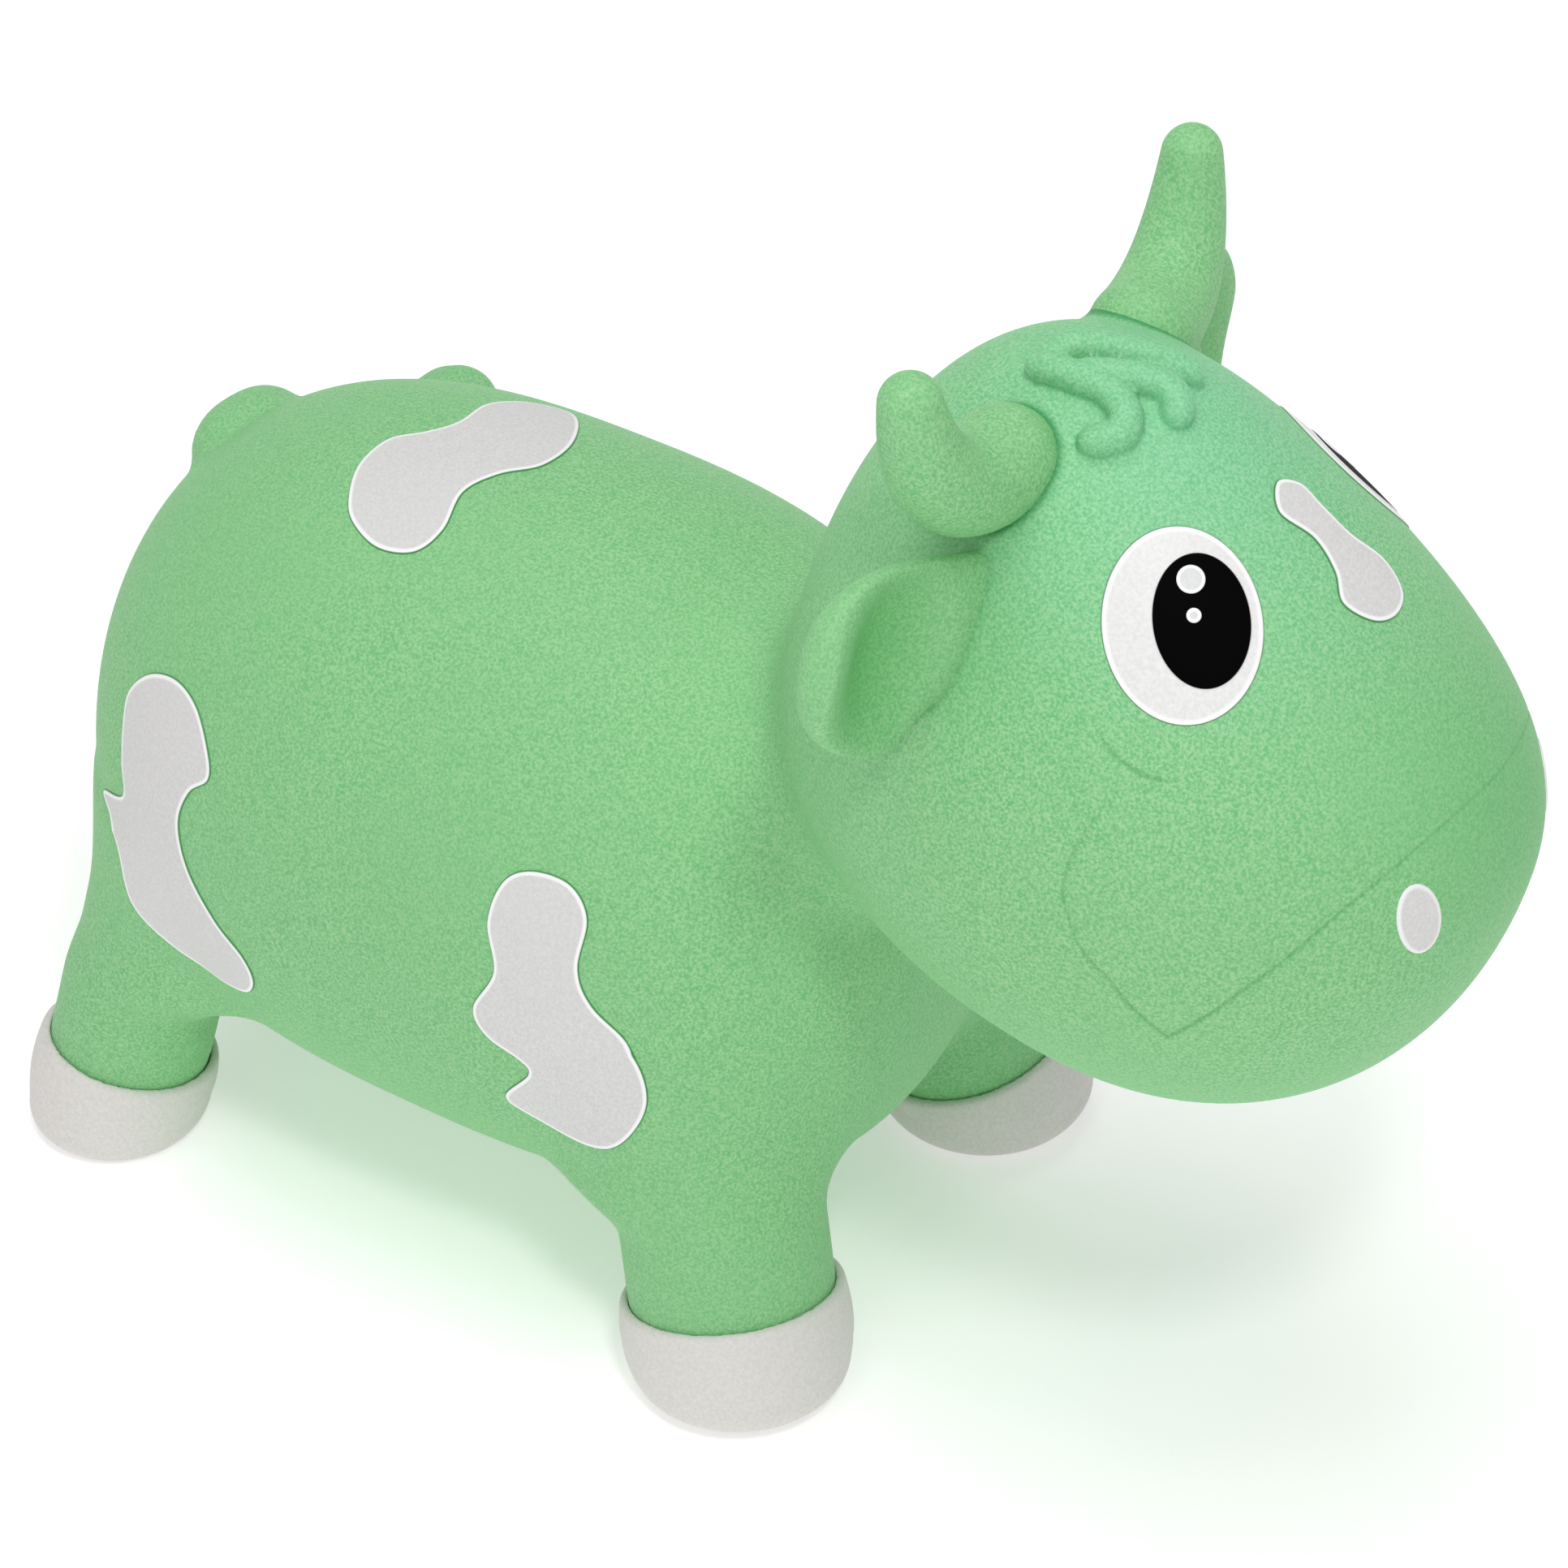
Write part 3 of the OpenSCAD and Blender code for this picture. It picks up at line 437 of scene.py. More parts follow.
def netSurface(field, low, high, step, atOnce=200000):
    # a net of four-sided faces: one point in each cell of a grid that the surface passes through, at the
    # mean of the places where the cell's edges cross it, and one face round each crossed edge of the grid
    axes = [np.arange(a, b + step, step) for a, b in zip(low, high)]
    size = tuple(len(a) for a in axes)
    points = np.stack(np.meshgrid(*axes, indexing="ij"), -1).reshape(-1, 3)
    parts = np.array_split(points, 1 + len(points) // atOnce)
    value = np.concatenate([field(part) for part in parts]).reshape(size)
    corners = np.array([[i, j, k] for i in (0, 1) for j in (0, 1) for k in (0, 1)])
    cells = tuple(n - 1 for n in size)
    held = np.stack([value[i:i + cells[0], j:j + cells[1], k:k + cells[2]] for i, j, k in corners], -1)
    crossed = np.argwhere((held.min(-1) < 0) & (held.max(-1) >= 0))
    v = held[tuple(crossed.T)]
    total, count = np.zeros((len(v), 3)), np.zeros((len(v), 1))
    for a in range(8):
        for b in range(a + 1, 8):
            if np.abs(corners[a] - corners[b]).sum() == 1:
                hit = (v[:, a] < 0) != (v[:, b] < 0)
                k = np.where(hit, v[:, a] / np.where(hit, v[:, a] - v[:, b], 1), 0)
                total += np.where(hit[:, None], corners[a] + k[:, None] * (corners[b] - corners[a]), 0)
                count += hit[:, None]
    verts = np.array([a[0] for a in axes]) + (crossed + total / count) * step
    number = np.full(cells, -1)
    number[tuple(crossed.T)] = np.arange(len(crossed))
    faces = []
    for axis in range(3):
        u, w = (axis + 1) % 3, (axis + 2) % 3
        inside = value < 0
        low, high = (np.take(inside, range(s, size[axis] - 1 + s), axis) for s in (0, 1))
        edge = np.argwhere(low != high)
        edge = edge[(edge[:, u] > 0) & (edge[:, w] > 0) & (edge[:, u] < cells[u]) & (edge[:, w] < cells[w])]
        ring = []
        for du, dw in ((0, 0), (-1, 0), (-1, -1), (0, -1)):
            cell = edge.copy()
            cell[:, u] += du
            cell[:, w] += dw
            ring.append(number[tuple(cell.T)])
        quad = np.stack(ring, -1)
        out = low[tuple(edge.T)]
        faces.append(np.where(out[:, None], quad, quad[:, ::-1]))
    return verts, np.concatenate(faces)


def loft(rings):
    # a closed skin over rings of equally many points, with a pole at each end
    m, n = rings.shape[:2]
    i, j = np.meshgrid(np.arange(m - 1), np.arange(n), indexing="ij")
    a, b = i * n + j, i * n + (j + 1) % n
    quads = np.stack([a, b, b + n, a + n], -1).reshape(-1, 4)
    verts = np.vstack([rings.reshape(-1, 3), rings[0].mean(0), rings[-1].mean(0)])
    j = np.arange(n)
    k = (j + 1) % n
    first, last = m * n, m * n + 1
    caps = np.concatenate([
        np.stack([k, j, np.full(n, first)], -1),
        np.stack([(m - 1) * n + j, (m - 1) * n + k, np.full(n, last)], -1)])
    return verts, quads, caps


# Putting a surface into the scene

def makePiece(name, verts, *faceLists):
    # one smooth-shaded mesh object at the origin, from points in millimetres and arrays of faces
    mesh = bpy.data.meshes.new(name)
    faceLists = [np.asarray(f, np.int32) for f in faceLists]
    loops = np.concatenate([f.ravel() for f in faceLists])
    counts = np.concatenate([np.full(len(f), f.shape[1]) for f in faceLists])
    starts = np.concatenate([[0], np.cumsum(counts)[:-1]])
    mesh.vertices.add(len(verts))
    mesh.vertices.foreach_set("co", inFrame(verts).astype(np.float32).ravel())
    mesh.loops.add(len(loops))
    mesh.loops.foreach_set("vertex_index", loops)
    mesh.polygons.add(len(counts))
    mesh.polygons.foreach_set("loop_start", starts.astype(np.int32))
    mesh.polygons.foreach_set("use_smooth", np.ones(len(counts), bool))
    mesh.update(calc_edges=True)
    mesh.validate()
    piece = bpy.data.objects.new(name, mesh)
    bpy.context.scene.collection.objects.link(piece)
    return piece


def faceOutwards(piece):
    # merges doubles and turns every face of a closed piece outwards
    bm = bmesh.new()
    bm.from_mesh(piece.data)
    bmesh.ops.remove_doubles(bm, verts=bm.verts, dist=1e-6)
    bmesh.ops.recalc_face_normals(bm, faces=bm.faces)
    bm.to_mesh(piece.data)
    bm.free()


def readPoints(mesh):
    # the mesh's points in millimetres from the trunk's centre
    co = np.empty(len(mesh.vertices) * 3, np.float32)
    mesh.vertices.foreach_get("co", co)
    return co.reshape(-1, 3).astype(float) * 1000 - trunkMiddle


def writePoints(mesh, p):
    # puts points back into the mesh
    mesh.vertices.foreach_set("co", inFrame(p).astype(np.float32).ravel())
    mesh.update()


def writeShares(piece, key, shares):
    # one number at each point, which a finish reads by its name
    held = piece.data.attributes.new(key, "FLOAT", "POINT")
    held.data.foreach_set("value", shares.astype(np.float32))


def refine(piece, near):
    # halves every edge whose two ends are marked as near fine detail
    bm = bmesh.new()
    bm.from_mesh(piece.data)
    bm.edges.ensure_lookup_table()
    ends = np.array([[v.index for v in e.verts] for e in bm.edges])
    chosen = np.nonzero(near[ends].all(1))[0]
    bmesh.ops.subdivide_edges(bm, edges=[bm.edges[i] for i in chosen], cuts=1, use_grid_fill=True)
    bmesh.ops.triangulate(bm, faces=[f for f in bm.faces if len(f.verts) > 4])
    for f in bm.faces:
        f.smooth = True
    bm.to_mesh(piece.data)
    bm.free()


def dress(piece, material, slot, *nodes):
    # gives a piece its finish and hides the solids that it stands for; its slot is not used
    piece.data.materials.append(material)
    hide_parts(*nodes)


# Finishes

def linearColour(r, g, b):
    # screen colour from 0 to 255 turned into linear light
    c = np.array([r, g, b]) / 255
    return tuple(np.where(c <= 0.04045, c / 12.92, ((c + 0.055) / 1.055) ** 2.4)) + (1,)


def newGroup(name, inputs, outputs):
    # an empty node group with number or colour sockets
    kinds = dict(value="NodeSocketFloat", colour="NodeSocketColor", vector="NodeSocketVector")
    group = bpy.data.node_groups.new(name, "ShaderNodeTree")
    for way, sockets in (("INPUT", inputs), ("OUTPUT", outputs)):
        for socket, kind in sockets.items():
            group.interface.new_socket(socket, in_out=way, socket_type=kinds[kind])
    return group, group.nodes.new("NodeGroupInput"), group.nodes.new("NodeGroupOutput")


def addNode(tree, kind, values=(), **settings):
    # a node with its settings and the plain values of its inputs
    made = tree.nodes.new(kind)
    for key, value in settings.items():
        setattr(made, key, value)
    for key, value in dict(values).items():
        made.inputs[key].default_value = value
    return made


grainShape = dict(
    finer=2.7, fineShare=0.5, slowScale=9.0, speckle=(0.35, 0.65), drift=(0.3, 0.7), driftShare=0.5,
    depth=0.0006)


def fromRange(low, high):
    # the inputs of a node that maps low to 0 and high to 1
    return {"From Min": low, "From Max": high}


def mouldedGrain():
    # fine stipple of a matte moulded skin: a coarse and a fine noise added, and slow drift over the piece
    group, into, out = newGroup(
        "mouldedGrain", dict(Place="vector", Fineness="value"),
        dict(Height="value", Speckle="value", Drift="value"))
    link, g = group.links.new, grainShape
    finer = addNode(group, "ShaderNodeMath", {1: g["finer"]}, operation="MULTIPLY")
    coarse = addNode(group, "ShaderNodeTexNoise", {"Detail": 2.0, "Roughness": 0.6})
    fine = addNode(group, "ShaderNodeTexNoise", {"Detail": 1.0, "Roughness": 0.5})
    slow = addNode(group, "ShaderNodeTexNoise", {"Scale": g["slowScale"], "Detail": 3.0, "Roughness": 0.5})
    both = addNode(group, "ShaderNodeMath", {1: g["fineShare"]}, operation="MULTIPLY_ADD")
    link(into.outputs["Fineness"], finer.inputs[0])
    for noise, scale in ((coarse, into.outputs["Fineness"]), (fine, finer.outputs[0])):
        link(into.outputs["Place"], noise.inputs["Vector"])
        link(scale, noise.inputs["Scale"])
    link(into.outputs["Place"], slow.inputs["Vector"])
    link(fine.outputs["Fac"], both.inputs[0])
    link(coarse.outputs["Fac"], both.inputs[2])
    link(both.outputs[0], out.inputs["Height"])
    link(coarse.outputs["Fac"], out.inputs["Speckle"])
    link(slow.outputs["Fac"], out.inputs["Drift"])
    return group


grainGroup = mouldedGrain()


def newMaterial(name, roughness, specular):
    # a material with its shader and the place on the piece, ready for the nodes of its own finish
    material = bpy.data.materials.new(name)
    material.use_nodes = True
    tree = material.node_tree
    shader = tree.nodes["Principled BSDF"]
    shader.inputs["Roughness"].default_value = roughness
    shader.inputs["Specular IOR Level"].default_value = specular
    place = tree.nodes.new("ShaderNodeTexCoord")
    return material, tree, shader, place


def grainedFinish(name, shades, roughness, fineness, bump, specular=0.5, bands=(), marks=()):
    # a speckle between two shades that drifts slowly to a third, over fine bumps; bands are colours along a
    # painted edge, each full to one distance from it and gone at the next, in millimetres: painted highlights
    # and painted shadows along the edges of patches, eye whites and nostrils, and the own pale rims of pupils
    # and glints; marks are tints laid over the skin by its own shares: painted shade in its grooves, creases
    # and hollows and at the muzzle's front, and a painted bluish reflection on its crown
    material, tree, shader, place = newMaterial(name, roughness[0], specular)
    link, g = tree.links.new, grainShape
    grain = addNode(tree, "ShaderNodeGroup", node_tree=grainGroup)
    grain.inputs["Fineness"].default_value = fineness
    link(place.outputs["Object"], grain.inputs["Place"])
    speck = addNode(tree, "ShaderNodeMapRange", fromRange(*g["speckle"]))
    drift = addNode(tree, "ShaderNodeMapRange", fromRange(*g["drift"]))
    link(grain.outputs["Speckle"], speck.inputs["Value"])
    link(grain.outputs["Drift"], drift.inputs["Value"])
    dark, pale, even = (linearColour(*shade) for shade in shades)
    fleck = addNode(tree, "ShaderNodeMix", {6: dark, 7: pale}, data_type="RGBA")
    slow = addNode(tree, "ShaderNodeMix", {7: even}, data_type="RGBA")
    half = addNode(tree, "ShaderNodeMath", {1: g["driftShare"]}, operation="MULTIPLY")
    link(speck.outputs["Result"], fleck.inputs[0])
    link(drift.outputs["Result"], half.inputs[0])
    link(half.outputs[0], slow.inputs[0])
    link(fleck.outputs[2], slow.inputs[6])
    colour = slow.outputs[2]
    if bands:
        inset = addNode(tree, "ShaderNodeAttribute", attribute_name="inset")
    for low, high, shade in bands:
        ramp = addNode(tree, "ShaderNodeMapRange", fromRange(low, high))
        rim = addNode(tree, "ShaderNodeMix", {6: linearColour(*shade)}, data_type="RGBA")
        link(inset.outputs["Fac"], ramp.inputs["Value"])
        link(ramp.outputs["Result"], rim.inputs[0])
        link(colour, rim.inputs[7])
        colour = rim.outputs[2]
    for key, shade in marks:
        share = addNode(tree, "ShaderNodeAttribute", attribute_name=key)
        tint = np.array(linearColour(*shade)) / even
        over = addNode(tree, "ShaderNodeMix", {7: tint}, data_type="RGBA", blend_type="MULTIPLY")
        link(share.outputs["Fac"], over.inputs[0])
        link(colour, over.inputs[6])
        colour = over.outputs[2]
    link(colour, shader.inputs["Base Color"])
    matte = addNode(tree, "ShaderNodeMapRange", {"To Min": roughness[0], "To Max": roughness[1]})
    link(grain.outputs["Speckle"], matte.inputs["Value"])
    link(matte.outputs["Result"], shader.inputs["Roughness"])
    dents = addNode(tree, "ShaderNodeBump", {"Strength": bump, "Distance": g["depth"]})
    link(grain.outputs["Height"], dents.inputs["Height"])
    link(dents.outputs["Normal"], shader.inputs["Normal"])
    return material


greenVinyl = grainedFinish(
    "greenVinyl", [(97, 178, 110), (156, 207, 149), (128, 193, 131)], (0.5, 0.68), 900, 0.4,
    # marks: a painted bluish reflection on the crown, and painted shade at the muzzle's front, in the fine
    # grooves, at the foot of the forelock, round the horns' and ears' roots and in the ears' hollows
    marks=[("crown", (124, 201, 157)), ("nose", (100, 182, 110)), ("line", (88, 162, 97)),
           ("lockFootShade", (80, 160, 100)), ("hornContactShade", (50, 140, 72)), ("earContactShade", (66, 146, 82)),
           ("hollow", (104, 180, 108))])
whiteShades = [(206, 205, 205), (220, 219, 218), (213, 212, 211)]
whitePaint = grainedFinish(
    "whitePaint", whiteShades, (0.5, 0.65), 850, 0.2, specular=0.35,
    # bands: a painted highlight in a pale band just inside the edge, and a painted shadow in a dark green line
    # at the very edge
    bands=[(1.5, 2.2, (246, 245, 246)), (0.45, 0.75, (70, 140, 82))])
nostrilPaint = grainedFinish(
    "nostrilPaint", whiteShades, (0.5, 0.65), 850, 0.2, specular=0.35,
    # band: a painted highlight in a pale band just inside the edge
    bands=[(1.0, 2.0, (240, 239, 240))])
hoofVinyl = grainedFinish(
    "hoofVinyl", [(212, 208, 205), (226, 222, 219), (219, 215, 212)], (0.5, 0.7), 700, 0.3, specular=0.35)
eyePaint = grainedFinish(
    "eyePaint", [(218, 218, 217), (230, 229, 228), (225, 224, 223)], (0.4, 0.55), 700, 0.12,
    # bands: a painted highlight in a pale band just inside the edge, and a painted shadow in a dark green line
    # at the very edge
    bands=[(1.5, 2.6, (246, 246, 246)), (0.4, 0.7, (86, 138, 94))])
pupilPaint = grainedFinish(
    "pupilPaint", [(1, 1, 1), (2, 2, 3), (1, 1, 2)], (0.5, 0.6), 700, 0.1, specular=0.02,
    bands=[(0.4, 0.7, (225, 225, 225))])
glintPaint = grainedFinish(
    "glintPaint", [(205, 207, 207), (214, 216, 216), (210, 212, 212)], (0.35, 0.5), 700, 0.1,
    bands=[(0.9, 1.4, (246, 246, 246))])
valvePlastic = grainedFinish(
    "valvePlastic", [(216, 218, 214), (228, 229, 226), (222, 224, 220)], (0.3, 0.45), 400, 0.1)
print("finishes made")

# Hooves


def barrelDistance(p, fore, side):
    # a barrel round the leg's axis, bulging between rim and foot, with a rounded rim
    g, r = hoofShape, legShape[fore]["radius"] + hoofShape["gap"] + hoofShape["wall"]
    foot, axis, lean, across = legAxes(fore, side)
    h, u, v = ((p - foot) @ way for way in (axis, lean, across))
    bulge = np.sin(np.pi * np.clip((g["height"] - h) / (g["swellShare"] * g["height"]), 0, 1))
    return smoothMax(np.hypot(u, v) - r - g["swell"] * bulge, h - g["height"], g["lip"])


def hoofDistance(p, fore, side):
    # barrel and bowl together, less the bore that the leg slides in
    g = hoofShape
    foot, axis, lean, across = legAxes(fore, side)
    u, v = ((p - foot) @ way for way in (lean, across))
    bore = np.hypot(u, v) - legShape[fore]["radius"] - g["gap"]
    bore = np.maximum(bore, bowlDistance(p, fore, side, g["sole"]))
    outer = smoothMax(barrelDistance(p, fore, side), bowlDistance(p, fore, side), g["edge"])
    return smoothMax(outer, -bore, g["inner"])


for fore, side in legNames:
    name = f"{fore}_{sideNames[side]}_hoof"
    foot = legAxes(fore, side)[0]
    field = lambda p, fore=fore, side=side: hoofDistance(p, fore, side)
    low, high = foot + hoofShape["boxLow"], foot + hoofShape["boxHigh"]
    verts, faces = netSurface(field, low, high, hoofShape["step"])
    hoof = makePiece("moulded_" + name, settle(field, verts, hoofShape["rounds"]), faces)
    dress(hoof, hoofVinyl, "white_hoof", name)
    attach(hoof, name)
print("hooves made")

# Horns

contactRings = dict(horn=[], ear=[])
for side in (left, right):
    name = sideNames[side] + "_horn"
    rings, base, outward = hornRings(side)
    horn = makePiece("moulded_" + name, *loft(rings))
    faceOutwards(horn)
    contactRings["horn"].append(rings)
    dress(horn, greenVinyl, "green_vinyl", name, name + "_root")
    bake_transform(horn)
print("horns made")

# Ears

earShape = dict(
    at=(-0.40, 27.5), length=63, width=67, rootWidth=52, rootLift=5, thick=17, cup=12, cupGrowth=2, sweep=18,
    rise=17, lean=13, widest=0.38, tip=1.06, tipPower=2.4, thinning=3.4, edge=0.8, curl=0.5, root=-0.24,
    rings=60, sides=64, flexReach=28, leftBack=8)


def earRings(side):
    # a leaf carried out from the head: its half width swells and closes, its front is hollow, and its edge is
    # rolled forward at the sides and at the tip
    g = earShape
    s, t = g["at"]
    base = headAt(s, onSide(t, side))
    sweep = np.radians(g["sweep"] + (g["leftBack"] if side == left else 0))
    rise, lean = np.radians(g["rise"]), np.radians(g["lean"])
    out = np.array([-np.sin(sweep) * np.cos(rise), side * np.cos(sweep) * np.cos(rise), np.sin(rise)])
    up = np.array([0, -side * np.sin(lean), np.cos(lean)])
    up = unit(up - out * (out @ up))
    front = -side * np.cross(up, out)
    k = mix(g["root"], g["tip"], np.sin(np.linspace(0, np.pi / 2, g["rings"]))[:, None])
    half = np.where(
        k < g["widest"], mix(g["rootWidth"], g["width"], ease(k / g["widest"])) / 2,
        g["width"] / 2 * swell(np.clip((k - g["widest"]) / (g["tip"] - g["widest"]), 0, 1), g["tipPower"]))
    thick = g["thick"] * np.minimum(1, g["thinning"] * half / g["width"])
    deep, tip = ease(g["cupGrowth"] * k), ease((k - g["curl"]) / (1 - g["curl"]))
    cup = g["cup"] * deep
    lift = g["rootLift"] * (1 - ease(k / g["widest"]))
    angle = np.linspace(0, 2 * np.pi, g["sides"], endpoint=False)[None, :]
    a, b = np.cos(angle), np.sin(angle)
    dish = np.where(b > 0, cup / 2 * b * b * (1 - tip), 0)
    ahead = cup * (0.5 - (1 - a * a) * (1 - tip)) + thick / 2 * signedPower(b, g["edge"]) - dish
    rings = base + out * (g["length"] * k)[..., None] + up * (half * a + lift)[..., None]
    rings = rings + front * ahead[..., None]
    # how deep each point lies in the ear's dish: the share of painted shade in the hollow
    hollow = np.where(b > 0, b * b * deep * (1 - tip), 0)
    return rings, base, out, hollow


for side in (left, right):
    name = sideNames[side] + "_ear"
    rings, base, outward, hollow = earRings(side)
    ear = makePiece("moulded_" + name, *loft(rings))
    writeShares(ear, "hollow", np.append(hollow.ravel(), [0, 0]))
    faceOutwards(ear)
    contactRings["ear"].append(rings)
    dress(ear, greenVinyl, "green_vinyl", name, name + "_root")
    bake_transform(ear)
print("ears made")

# The moulded skin

skinNet = netSurface(skinDistance, skinShape["boxLow"], skinShape["boxHigh"], skinShape["step"])
skin = makePiece("moulded_skin", *skinNet)


def settleSkin():
    # moves the skin's points onto its surface
    writePoints(skin.data, settle(skinDistance, readPoints(skin.data), skinShape["rounds"]))


settleSkin()


def ringTree(rings):
    # a search tree of the faces over a piece's rings
    verts, quads, caps = loft(rings)
    return BVHTree.FromPolygons(verts.tolist(), quads.tolist() + caps.tolist())


contactTrees = {
    key: [(rings.reshape(-1, 3), ringTree(rings)) for rings in pair] for key, pair in contactRings.items()}


def contactDistance(p, key, reach=12.0):
    # distance to the nearer horn or ear, worked out only near each of them
    d = np.full(len(p), reach)
    for points, tree in contactTrees[key]:
        near = np.all((p > points.min(0) - reach) & (p < points.max(0) + reach), axis=1)
        d[near] = np.minimum(d[near], [tree.find_nearest(q, reach)[3] or reach for q in p[near]])
    return d


def fineDetail(p):
    # distance from the places where the skin needs closer points: lines, forelock, tail, valve and creases
    crease = np.abs(barrelWithLegs(p) - skullDistance(p))
    ring = np.hypot(np.hypot(p[:, 0], p[:, 1]) - valveShape["radius"], p[:, 2] - valveShape["belly"])
    strands = [np.abs(lockDistance(p)), np.abs(pathDistance(p, *tailPath)) + skinShape["tailMargin"]]
    contacts = [contactDistance(p, key) for key in contactTrees]
    return np.minimum.reduce([lineDistance(p), crease, ring, *strands, *contacts])


for zone in (skinShape["fineZone"], skinShape["finerZone"]):
    refine(skin, fineDetail(readPoints(skin.data)) < zone)
    settleSkin()
refine(skin, lineDistance(readPoints(skin.data)) < skinShape["finestZone"])
settleSkin()
skinPoints = readPoints(skin.data)
fromCrown, fromNose = (
    np.linalg.norm(skinPoints - headAt(*skinShape[key]), axis=1) for key in ("crownAt", "noseAt"))
fromLock, fromHead = lockDistance(skinPoints), formDistance(headForm, skinPoints)
footOfLock = np.hypot(fromLock - fromHead, np.maximum(fromLock, 0))
for key, share, distance in (
        # painted shade: darker green along the fine grooves of the face
        ("line", 1, lineDistance(skinPoints) / skinShape["lineShade"]),
        # painted shade: darker green at the foot of the forelock's strands
        ("lockFootShade", lockShape["shade"], footOfLock / lockShape["shadeReach"]),
        # painted shade: a dark green line where the horns meet the skin
        ("hornContactShade", 1, contactDistance(skinPoints, "horn") / skinShape["contactShade"]),
        # painted shade: a weaker dark green line where the ears meet the skin
        ("earContactShade", skinShape["earContactShade"], contactDistance(skinPoints, "ear") / skinShape["contactShade"]),
        # painted reflection: a bluish tint on the top of the head
        ("crown", skinShape["crownShare"], fromCrown / skinShape["crownReach"]),
        # painted shade: darker green at the front end of the muzzle
        ("nose", skinShape["noseShare"], fromNose / skinShape["noseReach"])):
    writeShares(skin, key, share * np.exp(-(distance**2)))
legNodes = [f"{fore}_{sideNames[side]}_leg" for fore, side in legNames]
lockNodes = [key + "_lock" for key in lockShape["routes"]]
dress(skin, greenVinyl, "green_vinyl", "trunk", "head", "tail", *lockNodes, *legNodes)
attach(skin, "moulding")
print("moulded skin:", len(skin.data.polygons), "faces")

# Painted coats

coatShape = dict(
    grid=3.0, gridShare=0.12, gridGap=0.5, insets=(0.3, 0.6, 0.9, 1.3, 1.8, 2.5), wideFrom=12, spacing=0.93,
    sunk=0.3, floor=0.8, outset=0.5, rounds=14)


def insideOutline(p, outline):
    # whether each point is inside, by how often a level line from it crosses the outline
    a, b = outline, np.roll(outline, -1, 0)
    rises = (a[None, :, 1] > p[:, None, 1]) != (b[None, :, 1] > p[:, None, 1])
    slope = (b[:, 0] - a[:, 0]) / np.where(b[:, 1] == a[:, 1], 1e-9, b[:, 1] - a[:, 1])
    at = a[None, :, 0] + (p[:, None, 1] - a[None, :, 1]) * slope
    return (rises & (p[:, None, 0] < at)).sum(1) % 2 == 1


def outlineDistance(p, outline):
    # distance from each point to the nearest stretch of the outline
    a, d = outline, np.roll(outline, -1, 0) - outline
    w = p[:, None] - a[None]
    k = np.clip((w * d).sum(-1) / np.maximum((d * d).sum(-1), 1e-12), 0, 1)
    return np.linalg.norm(w - k[..., None] * d, axis=-1).min(1)


def flatSheet(outline, outset):
    # triangles filling an outline let out a little: its points, rows close inside it, and an even grid in the
    # middle
    g = coatShape
    area = 0.5 * np.sum(outline[:, 0] * np.roll(outline[:, 1], -1) - np.roll(outline[:, 0], -1) * outline[:, 1])
    outline = outline if area > 0 else outline[::-1]
    along = unit(np.roll(outline, -1, 0) - np.roll(outline, 1, 0))
    inward = np.stack([-along[:, 1], along[:, 0]], -1)
    outline = outline - inward * outset
    low, high = outline.min(0), outline.max(0)
    narrow = (high - low).min()
    step = min(g["grid"], g["gridShare"] * narrow)
    grid = np.stack(np.meshgrid(*(np.arange(a, b, step) for a, b in zip(low, high)), indexing="ij"), -1)
    deepest = g["insets"][-1] if narrow > g["wideFrom"] else g["gridShare"] * narrow
    scale = deepest / g["insets"][-1]
    rows = [(outline + inward * d * scale, d * scale * g["spacing"]) for d in g["insets"]]
    rows.append((grid.reshape(-1, 2), deepest + g["gridGap"] * step))
    kept = [p[(outlineDistance(p, outline) > least) & insideOutline(p, outline)] for p, least in rows]
    points = np.vstack([outline, *kept])
    verts, _, tris, *_ = delaunay_2d_cdt(
        [Vector(p) for p in points], [], [list(range(len(outline)))], 1, 1e-4)
    flat = np.array([v[:] for v in verts])
    return flat, np.array(tris), outlineDistance(flat, outline)


def coatPiece(name, outline, place, along, field, low, high, edge, outset=coatShape["outset"]):
    # a closed thin shell: the flat sheet laid on a surface along one way, raised from below the skin at its
    # edge to its full height over a quarter round, with its underside just under the skin
    flat, tris, inset = flatSheet(np.asarray(outline, float), outset)
    on = settle(field, place(flat), coatShape["rounds"], np.asarray(along, float))
    normal = unit(slopeOf(field, on))
    k = np.clip(inset / edge, 0, 1)
    lift = mix(low - coatShape["sunk"], high, np.sqrt(1 - (1 - k) ** 2))
    rim = inset < 1e-3
    under = np.where(rim, low - coatShape["sunk"], low - coatShape["floor"])
    number = np.where(rim, np.arange(len(flat)), len(flat) + np.cumsum(~rim) - 1)
    verts = np.vstack([on + lift[:, None] * normal, (on + under[:, None] * normal)[~rim]])
    piece = makePiece(name, verts, tris, number[tris][:, ::-1])
    writeShares(piece, "inset", np.concatenate([inset, inset[~rim] * 0]))
    faceOutwards(piece)
    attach(piece, "moulding")
    return piece


